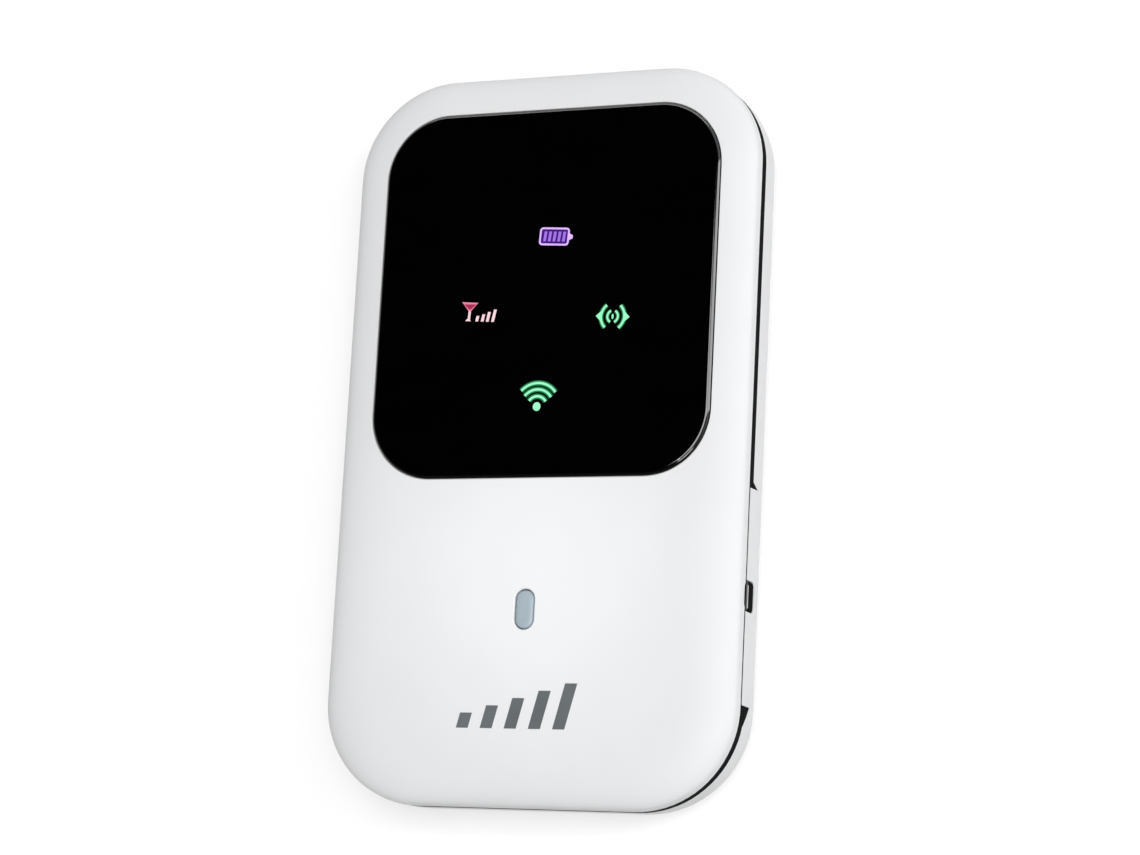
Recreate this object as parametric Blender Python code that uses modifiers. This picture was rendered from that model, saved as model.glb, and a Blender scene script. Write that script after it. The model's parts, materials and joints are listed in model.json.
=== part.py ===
"""A pocket mobile hotspot, lying on its back with its front face up.

Two white shells close on a dark chassis that shows as a groove between them. The front shell
carries a bevelled black window over four status lights, and a capsule power key. The chassis
holds the circuit board above and the battery below, and the rear cover pulls off downwards.
X runs to the right of the front face, Y to its top end and Z out of the face. The origin is
the middle of the back. Lengths are in metres.
"""
import math

import bmesh
import bpy
from mathutils import Matrix

MM = 0.001

# Outside form
BODY_WIDTH = 58.0 * MM
BODY_LENGTH = 99.5 * MM
BODY_CORNER = 13.7 * MM
REAR_HEIGHT = 9.4 * MM
SEAM_HEIGHT = 1.3 * MM
FRONT_HEIGHT = 3.0 * MM
FRONT_SIDE = 0.9 * MM
FRONT_PILLOW = 8.0 * MM
FRONT_PILLOW_POWER = 2.4
REAR_SIDE = 2.2 * MM
REAR_ROUND = 5.0 * MM
REAR_ROUND_POWER = 2.0

# Walls and general clearances
SHELL_WALL = 1.5 * MM
FRONT_SKIN = 1.7 * MM
STACK_GAP = 0.15 * MM
SLIP_GAP = 0.25 * MM
CUT_OVER = 2.0 * MM
JOIN_OVER = 0.4 * MM

# Window lens and what lies behind it
LENS_SIDE_MARGIN = 4.9 * MM
LENS_TOP_MARGIN = 5.5 * MM
LENS_FROM_BOTTOM = 43.5 * MM
LENS_CORNER = 8.8 * MM
LENS_THICKNESS = 1.5 * MM
LENS_PROUD = 0.3 * MM
LENS_BEVEL = 0.7 * MM
LENS_GAP = 0.2 * MM
LEDGE_WIDTH = 2.4 * MM
LEDGE_THICKNESS = 0.9 * MM
TAPE_THICKNESS = 0.2 * MM
TAPE_MARGIN = 0.3 * MM
SHROUD_GAP = 0.4 * MM
WELL_WIDTH = 7.0 * MM
WELL_LENGTH = 5.0 * MM
LED_WIDTH = 1.6 * MM
LED_LENGTH = 1.2 * MM
LED_HEIGHT = 0.7 * MM
ICON_CROSS_X = 0.5 * MM
ICON_CROSS_DROP = 3.5 * MM
ICON_REACH_X = 9.6 * MM
ICON_REACH_Y = 10.9 * MM

# Power key and its switch
KEY_X = -0.4 * MM
KEY_FROM_BOTTOM = 25.85 * MM
KEY_WIDTH = 2.5 * MM
KEY_LENGTH = 5.1 * MM
KEY_SUNK = 0.15 * MM
KEY_GAP = 0.15 * MM
KEY_EDGE = 0.2 * MM
KEY_FLANGE_LIP = 1.4 * MM
KEY_FLANGE_THICKNESS = 0.7 * MM
KEY_TRAVEL = 0.3 * MM
KEY_ROOM_INSET = 0.6 * MM
SWITCH_SIDE = 4.2 * MM
PLUNGER_RADIUS = 1.0 * MM
PLUNGER_HEIGHT = 0.9 * MM
PLUNGER_SHOWN = 0.6 * MM
PLUNGER_GAP = 0.1 * MM

# Circuit board, shields and chips
COMPONENT_SPACE = 1.8 * MM
BOARD_THICKNESS = 1.0 * MM
BOARD_MARGIN = 3.5 * MM
BOARD_STANDOFF = 0.4 * MM
SHIELD_SHEET = 0.3 * MM
SHIELD_HEIGHT = 1.4 * MM
SHIELD_SIDE_MARGIN = 6.0 * MM
SHIELD_SPACING = 4.0 * MM
SHIELD_END_GAP = 1.0 * MM
CHIP_HEIGHT = 0.7 * MM
CHIP_MARGIN = 2.4 * MM
PAD_WIDTH = 18.0 * MM
PAD_MARGIN = 1.8 * MM

# Charging port
PORT_WIDTH = 7.5 * MM
PORT_DEPTH = 5.0 * MM
PORT_HEIGHT = 2.5 * MM
PORT_SHEET = 0.3 * MM
PORT_CORNER = 0.7 * MM
PORT_INSET = 0.3 * MM
TONGUE_WIDTH = 3.8 * MM
TONGUE_THICKNESS = 0.6 * MM
TONGUE_SETBACK = 0.8 * MM
PORT_HOLE_MARGIN = 0.55 * MM
PORT_HOLE_CORNER = 1.1 * MM

# Card holders, reset switch and battery contacts
HOLDER_LENGTH = 16.0 * MM
HOLDER_HEIGHT = 1.5 * MM
HOLDER_SHEET = 0.3 * MM
HOLDER_BASE = 0.3 * MM
HOLDER_GAP = 0.9 * MM
HOLDER_END_GAP = 2.5 * MM
SIM_WIDTH = 17.0 * MM
CARD_WIDTH = 14.0 * MM
RESET_WIDTH = 2.6 * MM
RESET_LENGTH = 3.5 * MM
RESET_HEIGHT = 1.2 * MM
RESET_RADIUS = 0.6 * MM
RESET_SHOWN = 0.5 * MM
RESET_SUNK = 0.35 * MM
RESET_TRAVEL = 0.2 * MM
CONTACT_BLOCK_WIDTH = 9.0 * MM
CONTACT_BLOCK_DEPTH = 3.5 * MM
CONTACT_BLOCK_DROP = 2.2 * MM
CONTACT_BLOCK_GAP = 0.15 * MM
CONTACT_WIDTH = 0.8 * MM
CONTACT_HEIGHT = 0.9 * MM
CONTACT_PITCH = 2.54 * MM
CONTACT_EDGE = 0.2 * MM

# Chassis frame and battery
BAND_RECESS = 0.1 * MM
BAND_GAP = 0.08 * MM
LUG_RECESS = 0.5 * MM
SKIRT_WALL = 1.2 * MM
FRAME_FLOOR = 1.0 * MM
BAY_WALL = 0.9 * MM
BAY_GAP = 0.3 * MM
BAY_LIFT = 0.6 * MM
BATTERY_SIDE_MARGIN = 6.5 * MM
BATTERY_BOTTOM_MARGIN = 9.25 * MM
BATTERY_CORNER = 2.0 * MM
BATTERY_EDGE = 0.5 * MM
WINDOW_SIDE_MARGIN = 6.5 * MM
WINDOW_CORNER = 1.5 * MM
PORT_TO_WINDOW = 3.4 * MM
WINDOW_TO_BLOCK = 1.1 * MM

# Antennas
ANTENNA_THICKNESS = 0.3 * MM
ANTENNA_DEPTH = 4.0 * MM
ANTENNA_END_GAP = 2.4 * MM
ANTENNA_CORNER = 0.8 * MM
MAIN_ANTENNA_SCREW_GAP = 3.4 * MM
ANTENNA_SCREW_GAP = 1.7 * MM
ANTENNA_PORT_GAP = 2.7 * MM

# Screws and their bosses
SCREW_SIDE = 12.0 * MM
SCREW_END = 5.45 * MM
SCREW_RADIUS = 0.8 * MM
SCREW_HEAD_RADIUS = 1.6 * MM
SCREW_HEAD_HEIGHT = 0.9 * MM
SCREW_HEAD_EDGE = 0.3 * MM
SCREW_BITE = 2.0 * MM
SCREW_TIP = 0.4 * MM
SCREW_HOLE_GAP = 0.15 * MM
CROSS_WIDTH = 0.5 * MM
CROSS_LENGTH = 2.0 * MM
CROSS_DEPTH = 0.5 * MM
BOSS_RADIUS = 2.1 * MM

# Rear cover's tab, nail notch and guide ribs
TAB_FROM_BOTTOM = 14.0 * MM
TAB_LENGTH = 28.3 * MM
TAB_GAP = 0.15 * MM
NOTCH_LENGTH = 4.1 * MM
NOTCH_BELOW_RIM = 2.4 * MM
NOTCH_INTO_FRONT = 0.3 * MM
RIB_FROM_TOP = (24.0 * MM, 46.0 * MM)
RIB_LENGTH = 4.0 * MM
RIB_DEPTH = 0.8 * MM
RIB_HEIGHT = 2.0 * MM
RIB_BELOW_RIM = 0.4 * MM

# Facets
CORNER_STEPS = 8
SMALL_STEPS = 4
PILLOW_STEPS = 6
ROUND_STEPS = 16
SHARP_ANGLE = math.radians(35)
WELD = 0.001 * MM

# Levels, worked out from the back and the front face
REAR_RIM = REAR_HEIGHT
FRONT_RIM = REAR_RIM + SEAM_HEIGHT
FRONT_FACE = FRONT_RIM + FRONT_HEIGHT
LENS_TOP = FRONT_FACE + LENS_PROUD
LENS_UNDER = LENS_TOP - LENS_THICKNESS
POCKET_FLOOR = LENS_UNDER - TAPE_THICKNESS - 2 * STACK_GAP
LEDGE_UNDER = POCKET_FLOOR - LEDGE_THICKNESS
CEILING = FRONT_FACE - FRONT_SKIN
BOARD_TOP = LEDGE_UNDER - COMPONENT_SPACE
BOARD_UNDER = BOARD_TOP - BOARD_THICKNESS
FLOOR_TOP = BOARD_UNDER - BOARD_STANDOFF
FLOOR_UNDER = FLOOR_TOP - FRAME_FLOOR
BAND_LOW = REAR_RIM + BAND_GAP
BAND_HIGH = FRONT_RIM - BAND_GAP
ABOVE_BOARD = BOARD_TOP + STACK_GAP
BELOW_BOARD = BOARD_UNDER - STACK_GAP
SHIELD_TOP = ABOVE_BOARD + SHIELD_HEIGHT

# Places along the body, worked out from its two ends
TOP_END = BODY_LENGTH / 2
BOTTOM_END = -BODY_LENGTH / 2
RIGHT_SIDE = BODY_WIDTH / 2
LENS_WIDTH = BODY_WIDTH - 2 * LENS_SIDE_MARGIN
LENS_LENGTH = BODY_LENGTH - LENS_TOP_MARGIN - LENS_FROM_BOTTOM
LENS_Y = BOTTOM_END + LENS_FROM_BOTTOM + LENS_LENGTH / 2
LENS_LOW = BOTTOM_END + LENS_FROM_BOTTOM
KEY_Y = BOTTOM_END + KEY_FROM_BOTTOM
SCREW_X = RIGHT_SIDE - SCREW_SIDE
SCREW_Y = TOP_END - SCREW_END
PORT_MOUTH = TOP_END - SHELL_WALL - PORT_INSET
PORT_BACK = PORT_MOUTH - PORT_DEPTH
PORT_LOW = BELOW_BOARD - PORT_HEIGHT
WINDOW_HIGH = PORT_BACK - PORT_TO_WINDOW
WINDOW_LENGTH = HOLDER_LENGTH + 2 * HOLDER_END_GAP
WINDOW_LOW = WINDOW_HIGH - WINDOW_LENGTH
WINDOW_Y = (WINDOW_LOW + WINDOW_HIGH) / 2
BLOCK_HIGH = WINDOW_LOW - WINDOW_TO_BLOCK
BLOCK_LOW = BLOCK_HIGH - CONTACT_BLOCK_DEPTH
BATTERY_HIGH = BLOCK_LOW - SLIP_GAP - BAY_WALL - BAY_GAP
BATTERY_LOW = BOTTOM_END + BATTERY_BOTTOM_MARGIN
BATTERY_Y = (BATTERY_LOW + BATTERY_HIGH) / 2
BATTERY_WIDTH = BODY_WIDTH - 2 * BATTERY_SIDE_MARGIN
BATTERY_LENGTH = BATTERY_HIGH - BATTERY_LOW
BATTERY_UNDER = SHELL_WALL + BAY_GAP
BATTERY_HEIGHT = FLOOR_UNDER - BAY_GAP - BATTERY_UNDER
SKIRT_INSET = SHELL_WALL + SLIP_GAP
TAB_LOW = BOTTOM_END + TAB_FROM_BOTTOM
TAB_HIGH = TAB_LOW + TAB_LENGTH
NOTCH_Y = (TAB_LOW + TAB_HIGH) / 2
SCREW_PLACES = {
    "top_left": (-SCREW_X, SCREW_Y),
    "top_right": (SCREW_X, SCREW_Y),
    "bottom_left": (-SCREW_X, -SCREW_Y),
    "bottom_right": (SCREW_X, -SCREW_Y),
}
ICON_X = ICON_CROSS_X
ICON_Y = LENS_Y - ICON_CROSS_DROP
LIGHT_PLACES = {
    "battery": (ICON_X, ICON_Y + ICON_REACH_Y),
    "signal": (ICON_X - ICON_REACH_X, ICON_Y),
    "data": (ICON_X + ICON_REACH_X, ICON_Y),
    "wireless": (ICON_X, ICON_Y - ICON_REACH_Y),
}

for old in list(bpy.data.objects):
    bpy.data.objects.remove(old, do_unlink=True)

PARTS = bpy.data.collections.new("mobile_hotspot")
CUTTERS = bpy.data.collections.new("cutters")
bpy.context.scene.collection.children.link(PARTS)
bpy.context.scene.collection.children.link(CUTTERS)
ROOT = bpy.data.objects.new("hotspot_origin", None)
PARTS.objects.link(ROOT)


def surface(name, colour, roughness, metallic=0.0):
    """A Principled material of one colour."""
    material = bpy.data.materials.new(name)
    material.use_nodes = True
    shader = material.node_tree.nodes["Principled BSDF"]
    shader.inputs["Base Color"].default_value = (*colour, 1.0)
    shader.inputs["Roughness"].default_value = roughness
    shader.inputs["Metallic"].default_value = metallic
    return material


SHELL_WHITE = surface("shell_white", (0.82, 0.83, 0.84), 0.35)
LENS_BLACK = surface("lens_black", (0.004, 0.004, 0.005), 0.08)
TAPE_BLACK = surface("tape_black", (0.02, 0.02, 0.02), 0.8)
SHROUD_BLACK = surface("shroud_black", (0.015, 0.015, 0.016), 0.7)
LED_CREAM = surface("led_cream", (0.85, 0.82, 0.6), 0.3)
KEY_GREY = surface("key_grey", (0.38, 0.45, 0.5), 0.4)
SWITCH_METAL = surface("switch_metal", (0.6, 0.6, 0.6), 0.35, 1.0)
PLUNGER_DARK = surface("plunger_dark", (0.05, 0.05, 0.05), 0.5)
BOARD_GREEN = surface("board_green", (0.02, 0.13, 0.07), 0.45)
SHIELD_STEEL = surface("shield_steel", (0.62, 0.62, 0.6), 0.35, 1.0)
CHIP_BLACK = surface("chip_black", (0.03, 0.03, 0.032), 0.5)
PAD_GREY = surface("pad_grey", (0.3, 0.33, 0.38), 0.85)
PORT_STEEL = surface("port_steel", (0.66, 0.66, 0.65), 0.28, 1.0)
TONGUE_BLACK = surface("tongue_black", (0.02, 0.02, 0.02), 0.5)
HOLDER_BLACK = surface("holder_black", (0.025, 0.025, 0.025), 0.55)
CONTACT_GOLD = surface("contact_gold", (0.83, 0.62, 0.25), 0.3, 1.0)
FRAME_BLACK = surface("frame_black", (0.012, 0.012, 0.013), 0.55)
BATTERY_GREY = surface("battery_grey", (0.16, 0.17, 0.18), 0.5)
ANTENNA_AMBER = surface("antenna_amber", (0.32, 0.16, 0.04), 0.4)
SCREW_STEEL = surface("screw_steel", (0.12, 0.12, 0.12), 0.4, 1.0)


def make_object(name, mesh, collection, place):
    """Put a mesh in the scene, smooth where it is round."""
    mesh.shade_smooth()
    mesh.set_sharp_from_angle(angle=SHARP_ANGLE)
    piece = bpy.data.objects.new(name, mesh)
    piece.location = place
    collection.objects.link(piece)
    return piece


def from_bmesh(name, shape, collection, place):
    mesh = bpy.data.meshes.new(name)
    shape.to_mesh(mesh)
    shape.free()
    return make_object(name, mesh, collection, place)


def as_part(piece, material):
    """Make a piece one of the object's own parts."""
    CUTTERS.objects.unlink(piece)
    PARTS.objects.link(piece)
    piece.data.materials.clear()
    piece.data.materials.append(material)
    piece.parent = ROOT
    return piece


def combine(piece, tool, operation):
    """Cut or join a piece with a tool, which then stays out of renders."""
    step = piece.modifiers.new(tool.name, "BOOLEAN")
    step.operation = operation
    step.object = tool
    step.solver = "EXACT"
    tool.hide_render = True
    tool.display_type = "WIRE"


def cut(piece, *tools):
    for tool in tools:
        combine(piece, tool, "DIFFERENCE")


def join(piece, *tools):
    for tool in tools:
        combine(piece, tool, "UNION")


def rounded_shape(width, length, height, corner, steps):
    """A block standing on its own base, with its four upright edges rounded."""
    shape = bmesh.new()
    scale = Matrix.Diagonal((width, length, height, 1.0))
    bmesh.ops.create_cube(shape, size=1.0, matrix=Matrix.Translation((0, 0, height / 2)) @ scale)
    upright = [edge for edge in shape.edges if edge.verts[0].co.xy == edge.verts[1].co.xy]
    if corner > 0:
        bmesh.ops.bevel(shape, geom=upright, offset=corner, segments=steps, profile=0.5, affect="EDGES")
        bmesh.ops.remove_doubles(shape, verts=shape.verts, dist=WELD)
    return shape


def block(name, width, length, low, high, x=0.0, y=0.0, corner=0.0, steps=SMALL_STEPS):
    """A block between two levels, centred at x and y."""
    shape = rounded_shape(width, length, high - low, corner, steps)
    return from_bmesh(name, shape, CUTTERS, (x, y, low))


def span(name, xs, ys, zs):
    """A plain box between two corners."""
    middle_x = (xs[0] + xs[1]) / 2
    middle_y = (ys[0] + ys[1]) / 2
    return block(name, xs[1] - xs[0], ys[1] - ys[0], zs[0], zs[1], middle_x, middle_y)


def body_block(name, inset, low, high):
    """A block with the body's own outline, a set distance inside it."""
    width = BODY_WIDTH - 2 * inset
    length = BODY_LENGTH - 2 * inset
    return block(name, width, length, low, high, corner=BODY_CORNER - inset, steps=CORNER_STEPS)


def lens_block(name, grow, low, high):
    """A block with the window lens's outline, a set distance outside it."""
    width = LENS_WIDTH + 2 * grow
    length = LENS_LENGTH + 2 * grow
    return block(name, width, length, low, high, y=LENS_Y, corner=LENS_CORNER + grow, steps=CORNER_STEPS)


def rod(name, radius, low, high, x=0.0, y=0.0):
    """An upright cylinder between two levels."""
    shape = bmesh.new()
    middle = Matrix.Translation((0, 0, (high - low) / 2))
    bmesh.ops.create_cone(shape, cap_ends=True, segments=ROUND_STEPS, radius1=radius, radius2=radius,
                          depth=high - low, matrix=middle)
    return from_bmesh(name, shape, CUTTERS, (x, y, low))


def round_edges(piece, width, upward, steps=2):
    """Round the rim of a piece's top or bottom face."""
    shape = bmesh.new()
    shape.from_mesh(piece.data)
    way = 1 if upward else -1
    faces = [face for face in shape.faces if face.normal.z * way > 0.9]
    rim = [edge for face in faces for edge in face.edges]
    bmesh.ops.bevel(shape, geom=rim, offset=width, segments=steps, profile=0.5, affect="EDGES")
    shape.to_mesh(piece.data)
    shape.free()
    piece.data.shade_smooth()
    piece.data.set_sharp_from_angle(angle=SHARP_ANGLE)


def pillow(name, inset, side, wall, inward, rise, power):
    """A body-outlined block whose far face swells out in a rounded pillow.

    The straight wall runs from level side by the height wall, which is negative for a pillow
    that swells down. The far face then moves in by inward while it rises by rise.
    """
    low = min(side, side + wall)
    width = BODY_WIDTH - 2 * inset
    length = BODY_LENGTH - 2 * inset
    shape = rounded_shape(width, length, abs(wall), BODY_CORNER - inset, CORNER_STEPS)
    way = 1 if wall > 0 else -1
    face = next(face for face in shape.faces if face.normal.z * way > 0.9)
    moved = 0.0
    raised = 0.0
    for step in range(1, PILLOW_STEPS + 1):
        turn = math.pi / 2 * step / PILLOW_STEPS
        to_move = inward * (1 - max(math.cos(turn), 0.0) ** (2 / power))
        to_raise = rise * math.sin(turn) ** (2 / power)
        bmesh.ops.inset_region(shape, faces=[face], thickness=to_move - moved, depth=to_raise - raised,
                               use_even_offset=True)
        moved = to_move
        raised = to_raise
    return from_bmesh(name, shape, CUTTERS, (0, 0, low))


def baked_mesh(piece):
    """The mesh of a piece with its modifiers carried out."""
    graph = bpy.context.evaluated_depsgraph_get()
    return bpy.data.meshes.new_from_object(piece.evaluated_get(graph), depsgraph=graph)


def build_front_shell():
    """The white front: a pillowed shell with a stepped window, a key slot and screw bosses."""
    pillow_rise = FRONT_HEIGHT - FRONT_SIDE
    shell = pillow("front_shell", 0.0, FRONT_RIM, FRONT_SIDE, FRONT_PILLOW, pillow_rise, FRONT_PILLOW_POWER)
    room_inset = SHELL_WALL + KEY_ROOM_INSET
    room_low = BOTTOM_END + room_inset
    room_high = LENS_LOW - LENS_GAP - SHELL_WALL
    cut(shell, body_block("front_cavity", SHELL_WALL, FRONT_RIM - CUT_OVER, LEDGE_UNDER))
    room_y = (room_low + room_high) / 2
    cut(shell, block("key_room", BODY_WIDTH - 2 * room_inset, room_high - room_low,
                     LEDGE_UNDER - CUT_OVER, CEILING, y=room_y, corner=BODY_CORNER - room_inset,
                     steps=CORNER_STEPS))
    cut(shell, lens_block("lens_pocket", LENS_GAP, POCKET_FLOOR, LENS_TOP + CUT_OVER))
    cut(shell, lens_block("lens_aperture", -LEDGE_WIDTH, LEDGE_UNDER - CUT_OVER, LENS_TOP + CUT_OVER))
    slot_width = KEY_WIDTH + 2 * KEY_GAP
    cut(shell, block("key_slot", slot_width, KEY_LENGTH + 2 * KEY_GAP, CEILING - CUT_OVER,
                     LENS_TOP + CUT_OVER, KEY_X, KEY_Y, slot_width / 2 - WELD))
    for place, (x, y) in SCREW_PLACES.items():
        roof = LEDGE_UNDER if y > 0 else CEILING
        join(shell, rod(f"boss_{place}", BOSS_RADIUS, ABOVE_BOARD, roof + JOIN_OVER, x, y))
    for place, (x, y) in SCREW_PLACES.items():
        hole_top = ABOVE_BOARD + SCREW_BITE + STACK_GAP
        radius = SCREW_RADIUS + SCREW_HOLE_GAP
        cut(shell, rod(f"boss_hole_{place}", radius, ABOVE_BOARD - CUT_OVER, hole_top, x, y))
    cut(shell, span("notch_top", (RIGHT_SIDE - SHELL_WALL - CUT_OVER, RIGHT_SIDE + CUT_OVER),
                    (NOTCH_Y - NOTCH_LENGTH / 2, NOTCH_Y + NOTCH_LENGTH / 2),
                    (FRONT_RIM - CUT_OVER, FRONT_RIM + NOTCH_INTO_FRONT)))
    as_part(shell, SHELL_WHITE)


def build_window():
    """The bevelled lens, its tape ring and the shroud with one light in each well."""
    lens = lens_block("display_lens", 0.0, LENS_UNDER, LENS_TOP)
    round_edges(lens, LENS_BEVEL, upward=True)
    as_part(lens, LENS_BLACK)

    tape_low = POCKET_FLOOR + STACK_GAP
    tape = lens_block("lens_tape", -TAPE_MARGIN, tape_low, tape_low + TAPE_THICKNESS)
    cut(tape, lens_block("tape_middle", TAPE_MARGIN - LEDGE_WIDTH, tape_low - CUT_OVER, LENS_TOP))
    as_part(tape, TAPE_BLACK)

    shroud = lens_block("light_shroud", -LEDGE_WIDTH - SHROUD_GAP, ABOVE_BOARD, LENS_UNDER - STACK_GAP)
    for light, (x, y) in LIGHT_PLACES.items():
        cut(shroud, block(f"{light}_well", WELL_WIDTH, WELL_LENGTH, ABOVE_BOARD - CUT_OVER, LENS_TOP, x, y,
                          WELL_LENGTH / 4))
        led = block(f"{light}_led", LED_WIDTH, LED_LENGTH, ABOVE_BOARD, ABOVE_BOARD + LED_HEIGHT, x, y)
        as_part(led, LED_CREAM)
    as_part(shroud, SHROUD_BLACK)


def build_power_key():
    """The capsule key with its retaining flange, and the switch that it presses."""
    key_top = FRONT_FACE - KEY_SUNK
    flange_top = CEILING - STACK_GAP
    flange_under = flange_top - KEY_FLANGE_THICKNESS
    flange_width = KEY_WIDTH + 2 * KEY_FLANGE_LIP
    cap = block("key_cap", KEY_WIDTH, KEY_LENGTH, flange_under + KEY_FLANGE_THICKNESS / 2, key_top,
                KEY_X, KEY_Y, KEY_WIDTH / 2 - WELD)
    round_edges(cap, KEY_EDGE, upward=True, steps=1)
    key = block("power_key", flange_width, KEY_LENGTH + 2 * KEY_FLANGE_LIP, flange_under, flange_top,
                KEY_X, KEY_Y, flange_width / 2 - WELD)
    join(key, cap)
    as_part(key, KEY_GREY)

    plunger_top = flange_under - STACK_GAP
    plunger_under = plunger_top - PLUNGER_HEIGHT
    switch_top = plunger_top - PLUNGER_SHOWN
    switch = block("power_switch", SWITCH_SIDE, SWITCH_SIDE, ABOVE_BOARD, switch_top, KEY_X, KEY_Y)
    bore_floor = plunger_under - KEY_TRAVEL - PLUNGER_GAP
    bore = rod("switch_bore", PLUNGER_RADIUS + PLUNGER_GAP, bore_floor, switch_top + CUT_OVER, KEY_X, KEY_Y)
    cut(switch, bore)
    as_part(switch, SWITCH_METAL)
    as_part(rod("power_plunger", PLUNGER_RADIUS, plunger_under, plunger_top, KEY_X, KEY_Y), PLUNGER_DARK)


def build_board():
    """The circuit board, with a clear hole at each screw."""
    board = body_block("main_board", BOARD_MARGIN, BOARD_UNDER, BOARD_TOP)
    for place, (x, y) in SCREW_PLACES.items():
        radius = SCREW_RADIUS + SCREW_HOLE_GAP
        cut(board, rod(f"board_hole_{place}", radius, BOARD_UNDER - CUT_OVER, BOARD_TOP + CUT_OVER, x, y))
    as_part(board, BOARD_GREEN)


def build_shield(name, chip_name, xs, ys):
    """A sheet-metal can, open below, over one chip."""
    can = span(f"{name}_shield", xs, ys, (ABOVE_BOARD, SHIELD_TOP))
    inside = span(f"{name}_room", (xs[0] + SHIELD_SHEET, xs[1] - SHIELD_SHEET),
                  (ys[0] + SHIELD_SHEET, ys[1] - SHIELD_SHEET),
                  (ABOVE_BOARD - CUT_OVER, SHIELD_TOP - SHIELD_SHEET))
    cut(can, inside)
    as_part(can, SHIELD_STEEL)
    chip = span(chip_name, (xs[0] + CHIP_MARGIN, xs[1] - CHIP_MARGIN),
                (ys[0] + CHIP_MARGIN, ys[1] - CHIP_MARGIN), (ABOVE_BOARD, ABOVE_BOARD + CHIP_HEIGHT))
    as_part(chip, CHIP_BLACK)


def build_shields():
    """One can between window and key, two between key and bottom end, and a heat pad."""
    far_x = RIGHT_SIDE - SHIELD_SIDE_MARGIN
    near_x = SHIELD_SPACING / 2
    flange_half = KEY_LENGTH / 2 + KEY_FLANGE_LIP
    upper = (KEY_Y + flange_half + SHIELD_END_GAP, LENS_LOW - SHIELD_END_GAP)
    lower = (-SCREW_Y + BOSS_RADIUS + SHIELD_END_GAP, KEY_Y - flange_half - SHIELD_END_GAP)
    build_shield("processor", "processor_chip", (-far_x, far_x), upper)
    build_shield("modem", "modem_chip", (-far_x, -near_x), lower)
    build_shield("radio", "radio_chip", (near_x, far_x), lower)
    pad = span("thermal_pad", (-PAD_WIDTH / 2, PAD_WIDTH / 2), (upper[0] + PAD_MARGIN, upper[1] - PAD_MARGIN),
               (SHIELD_TOP + STACK_GAP, CEILING - STACK_GAP))
    as_part(pad, PAD_GREY)


def port_tube(name, grow, corner, back, mouth):
    """A rounded block lying along Y, around the charging port's own middle."""
    shape = rounded_shape(PORT_WIDTH + 2 * grow, PORT_HEIGHT + 2 * grow, mouth - back, corner, SMALL_STEPS)
    bmesh.ops.rotate(shape, verts=shape.verts, matrix=Matrix.Rotation(math.radians(-90), 3, "X"))
    return from_bmesh(name, shape, CUTTERS, (0, back, PORT_LOW + PORT_HEIGHT / 2))


def build_port():
    """The charging port: a drawn steel shell with a contact tongue inside."""
    port = port_tube("usb_shell", 0.0, PORT_CORNER, PORT_BACK, PORT_MOUTH)
    cut(port, port_tube("usb_room", -PORT_SHEET, PORT_CORNER - PORT_SHEET, PORT_BACK + PORT_SHEET,
                        PORT_MOUTH + CUT_OVER))
    as_part(port, PORT_STEEL)
    middle = PORT_LOW + PORT_HEIGHT / 2
    tongue = span("usb_tongue", (-TONGUE_WIDTH / 2, TONGUE_WIDTH / 2),
                  (PORT_BACK + PORT_SHEET + STACK_GAP, PORT_MOUTH - TONGUE_SETBACK),
                  (middle, middle + TONGUE_THICKNESS))
    as_part(tongue, TONGUE_BLACK)


def build_holder(name, left, width):
    """A card holder under the board: a flat base inside a folded cover open at both ends."""
    right = left + width
    ends = (WINDOW_Y - HOLDER_LENGTH / 2, WINDOW_Y + HOLDER_LENGTH / 2)
    cover_low = BELOW_BOARD - HOLDER_HEIGHT
    cover = span(f"{name}_holder_cover", (left, right), ends, (cover_low, BELOW_BOARD))
    inner = (left + HOLDER_SHEET, right - HOLDER_SHEET)
    cut(cover, span(f"{name}_slot", inner, (ends[0] - CUT_OVER, ends[1] + CUT_OVER),
                    (cover_low + HOLDER_SHEET, BELOW_BOARD + CUT_OVER)))
    as_part(cover, SHIELD_STEEL)
    base = span(f"{name}_holder_base", (inner[0] + STACK_GAP, inner[1] - STACK_GAP), ends,
                (BELOW_BOARD - HOLDER_BASE, BELOW_BOARD))
    as_part(base, HOLDER_BLACK)


def build_service_parts():
    """What the frame's window shows: two card holders with the reset switch between them."""
    near_x = RESET_WIDTH / 2 + HOLDER_GAP
    build_holder("sim", -near_x - SIM_WIDTH, SIM_WIDTH)
    build_holder("memory_card", near_x, CARD_WIDTH)
    switch_under = BELOW_BOARD - RESET_HEIGHT
    switch = block("reset_switch", RESET_WIDTH, RESET_LENGTH, switch_under, BELOW_BOARD, y=WINDOW_Y)
    plunger_top = switch_under + RESET_SUNK
    bore_top = plunger_top + RESET_TRAVEL + PLUNGER_GAP
    cut(switch, rod("reset_bore", RESET_RADIUS + PLUNGER_GAP, switch_under - CUT_OVER, bore_top, y=WINDOW_Y))
    as_part(switch, SWITCH_METAL)
    plunger = rod("reset_plunger", RESET_RADIUS, switch_under - RESET_SHOWN, plunger_top, y=WINDOW_Y)
    as_part(plunger, PLUNGER_DARK)


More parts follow.
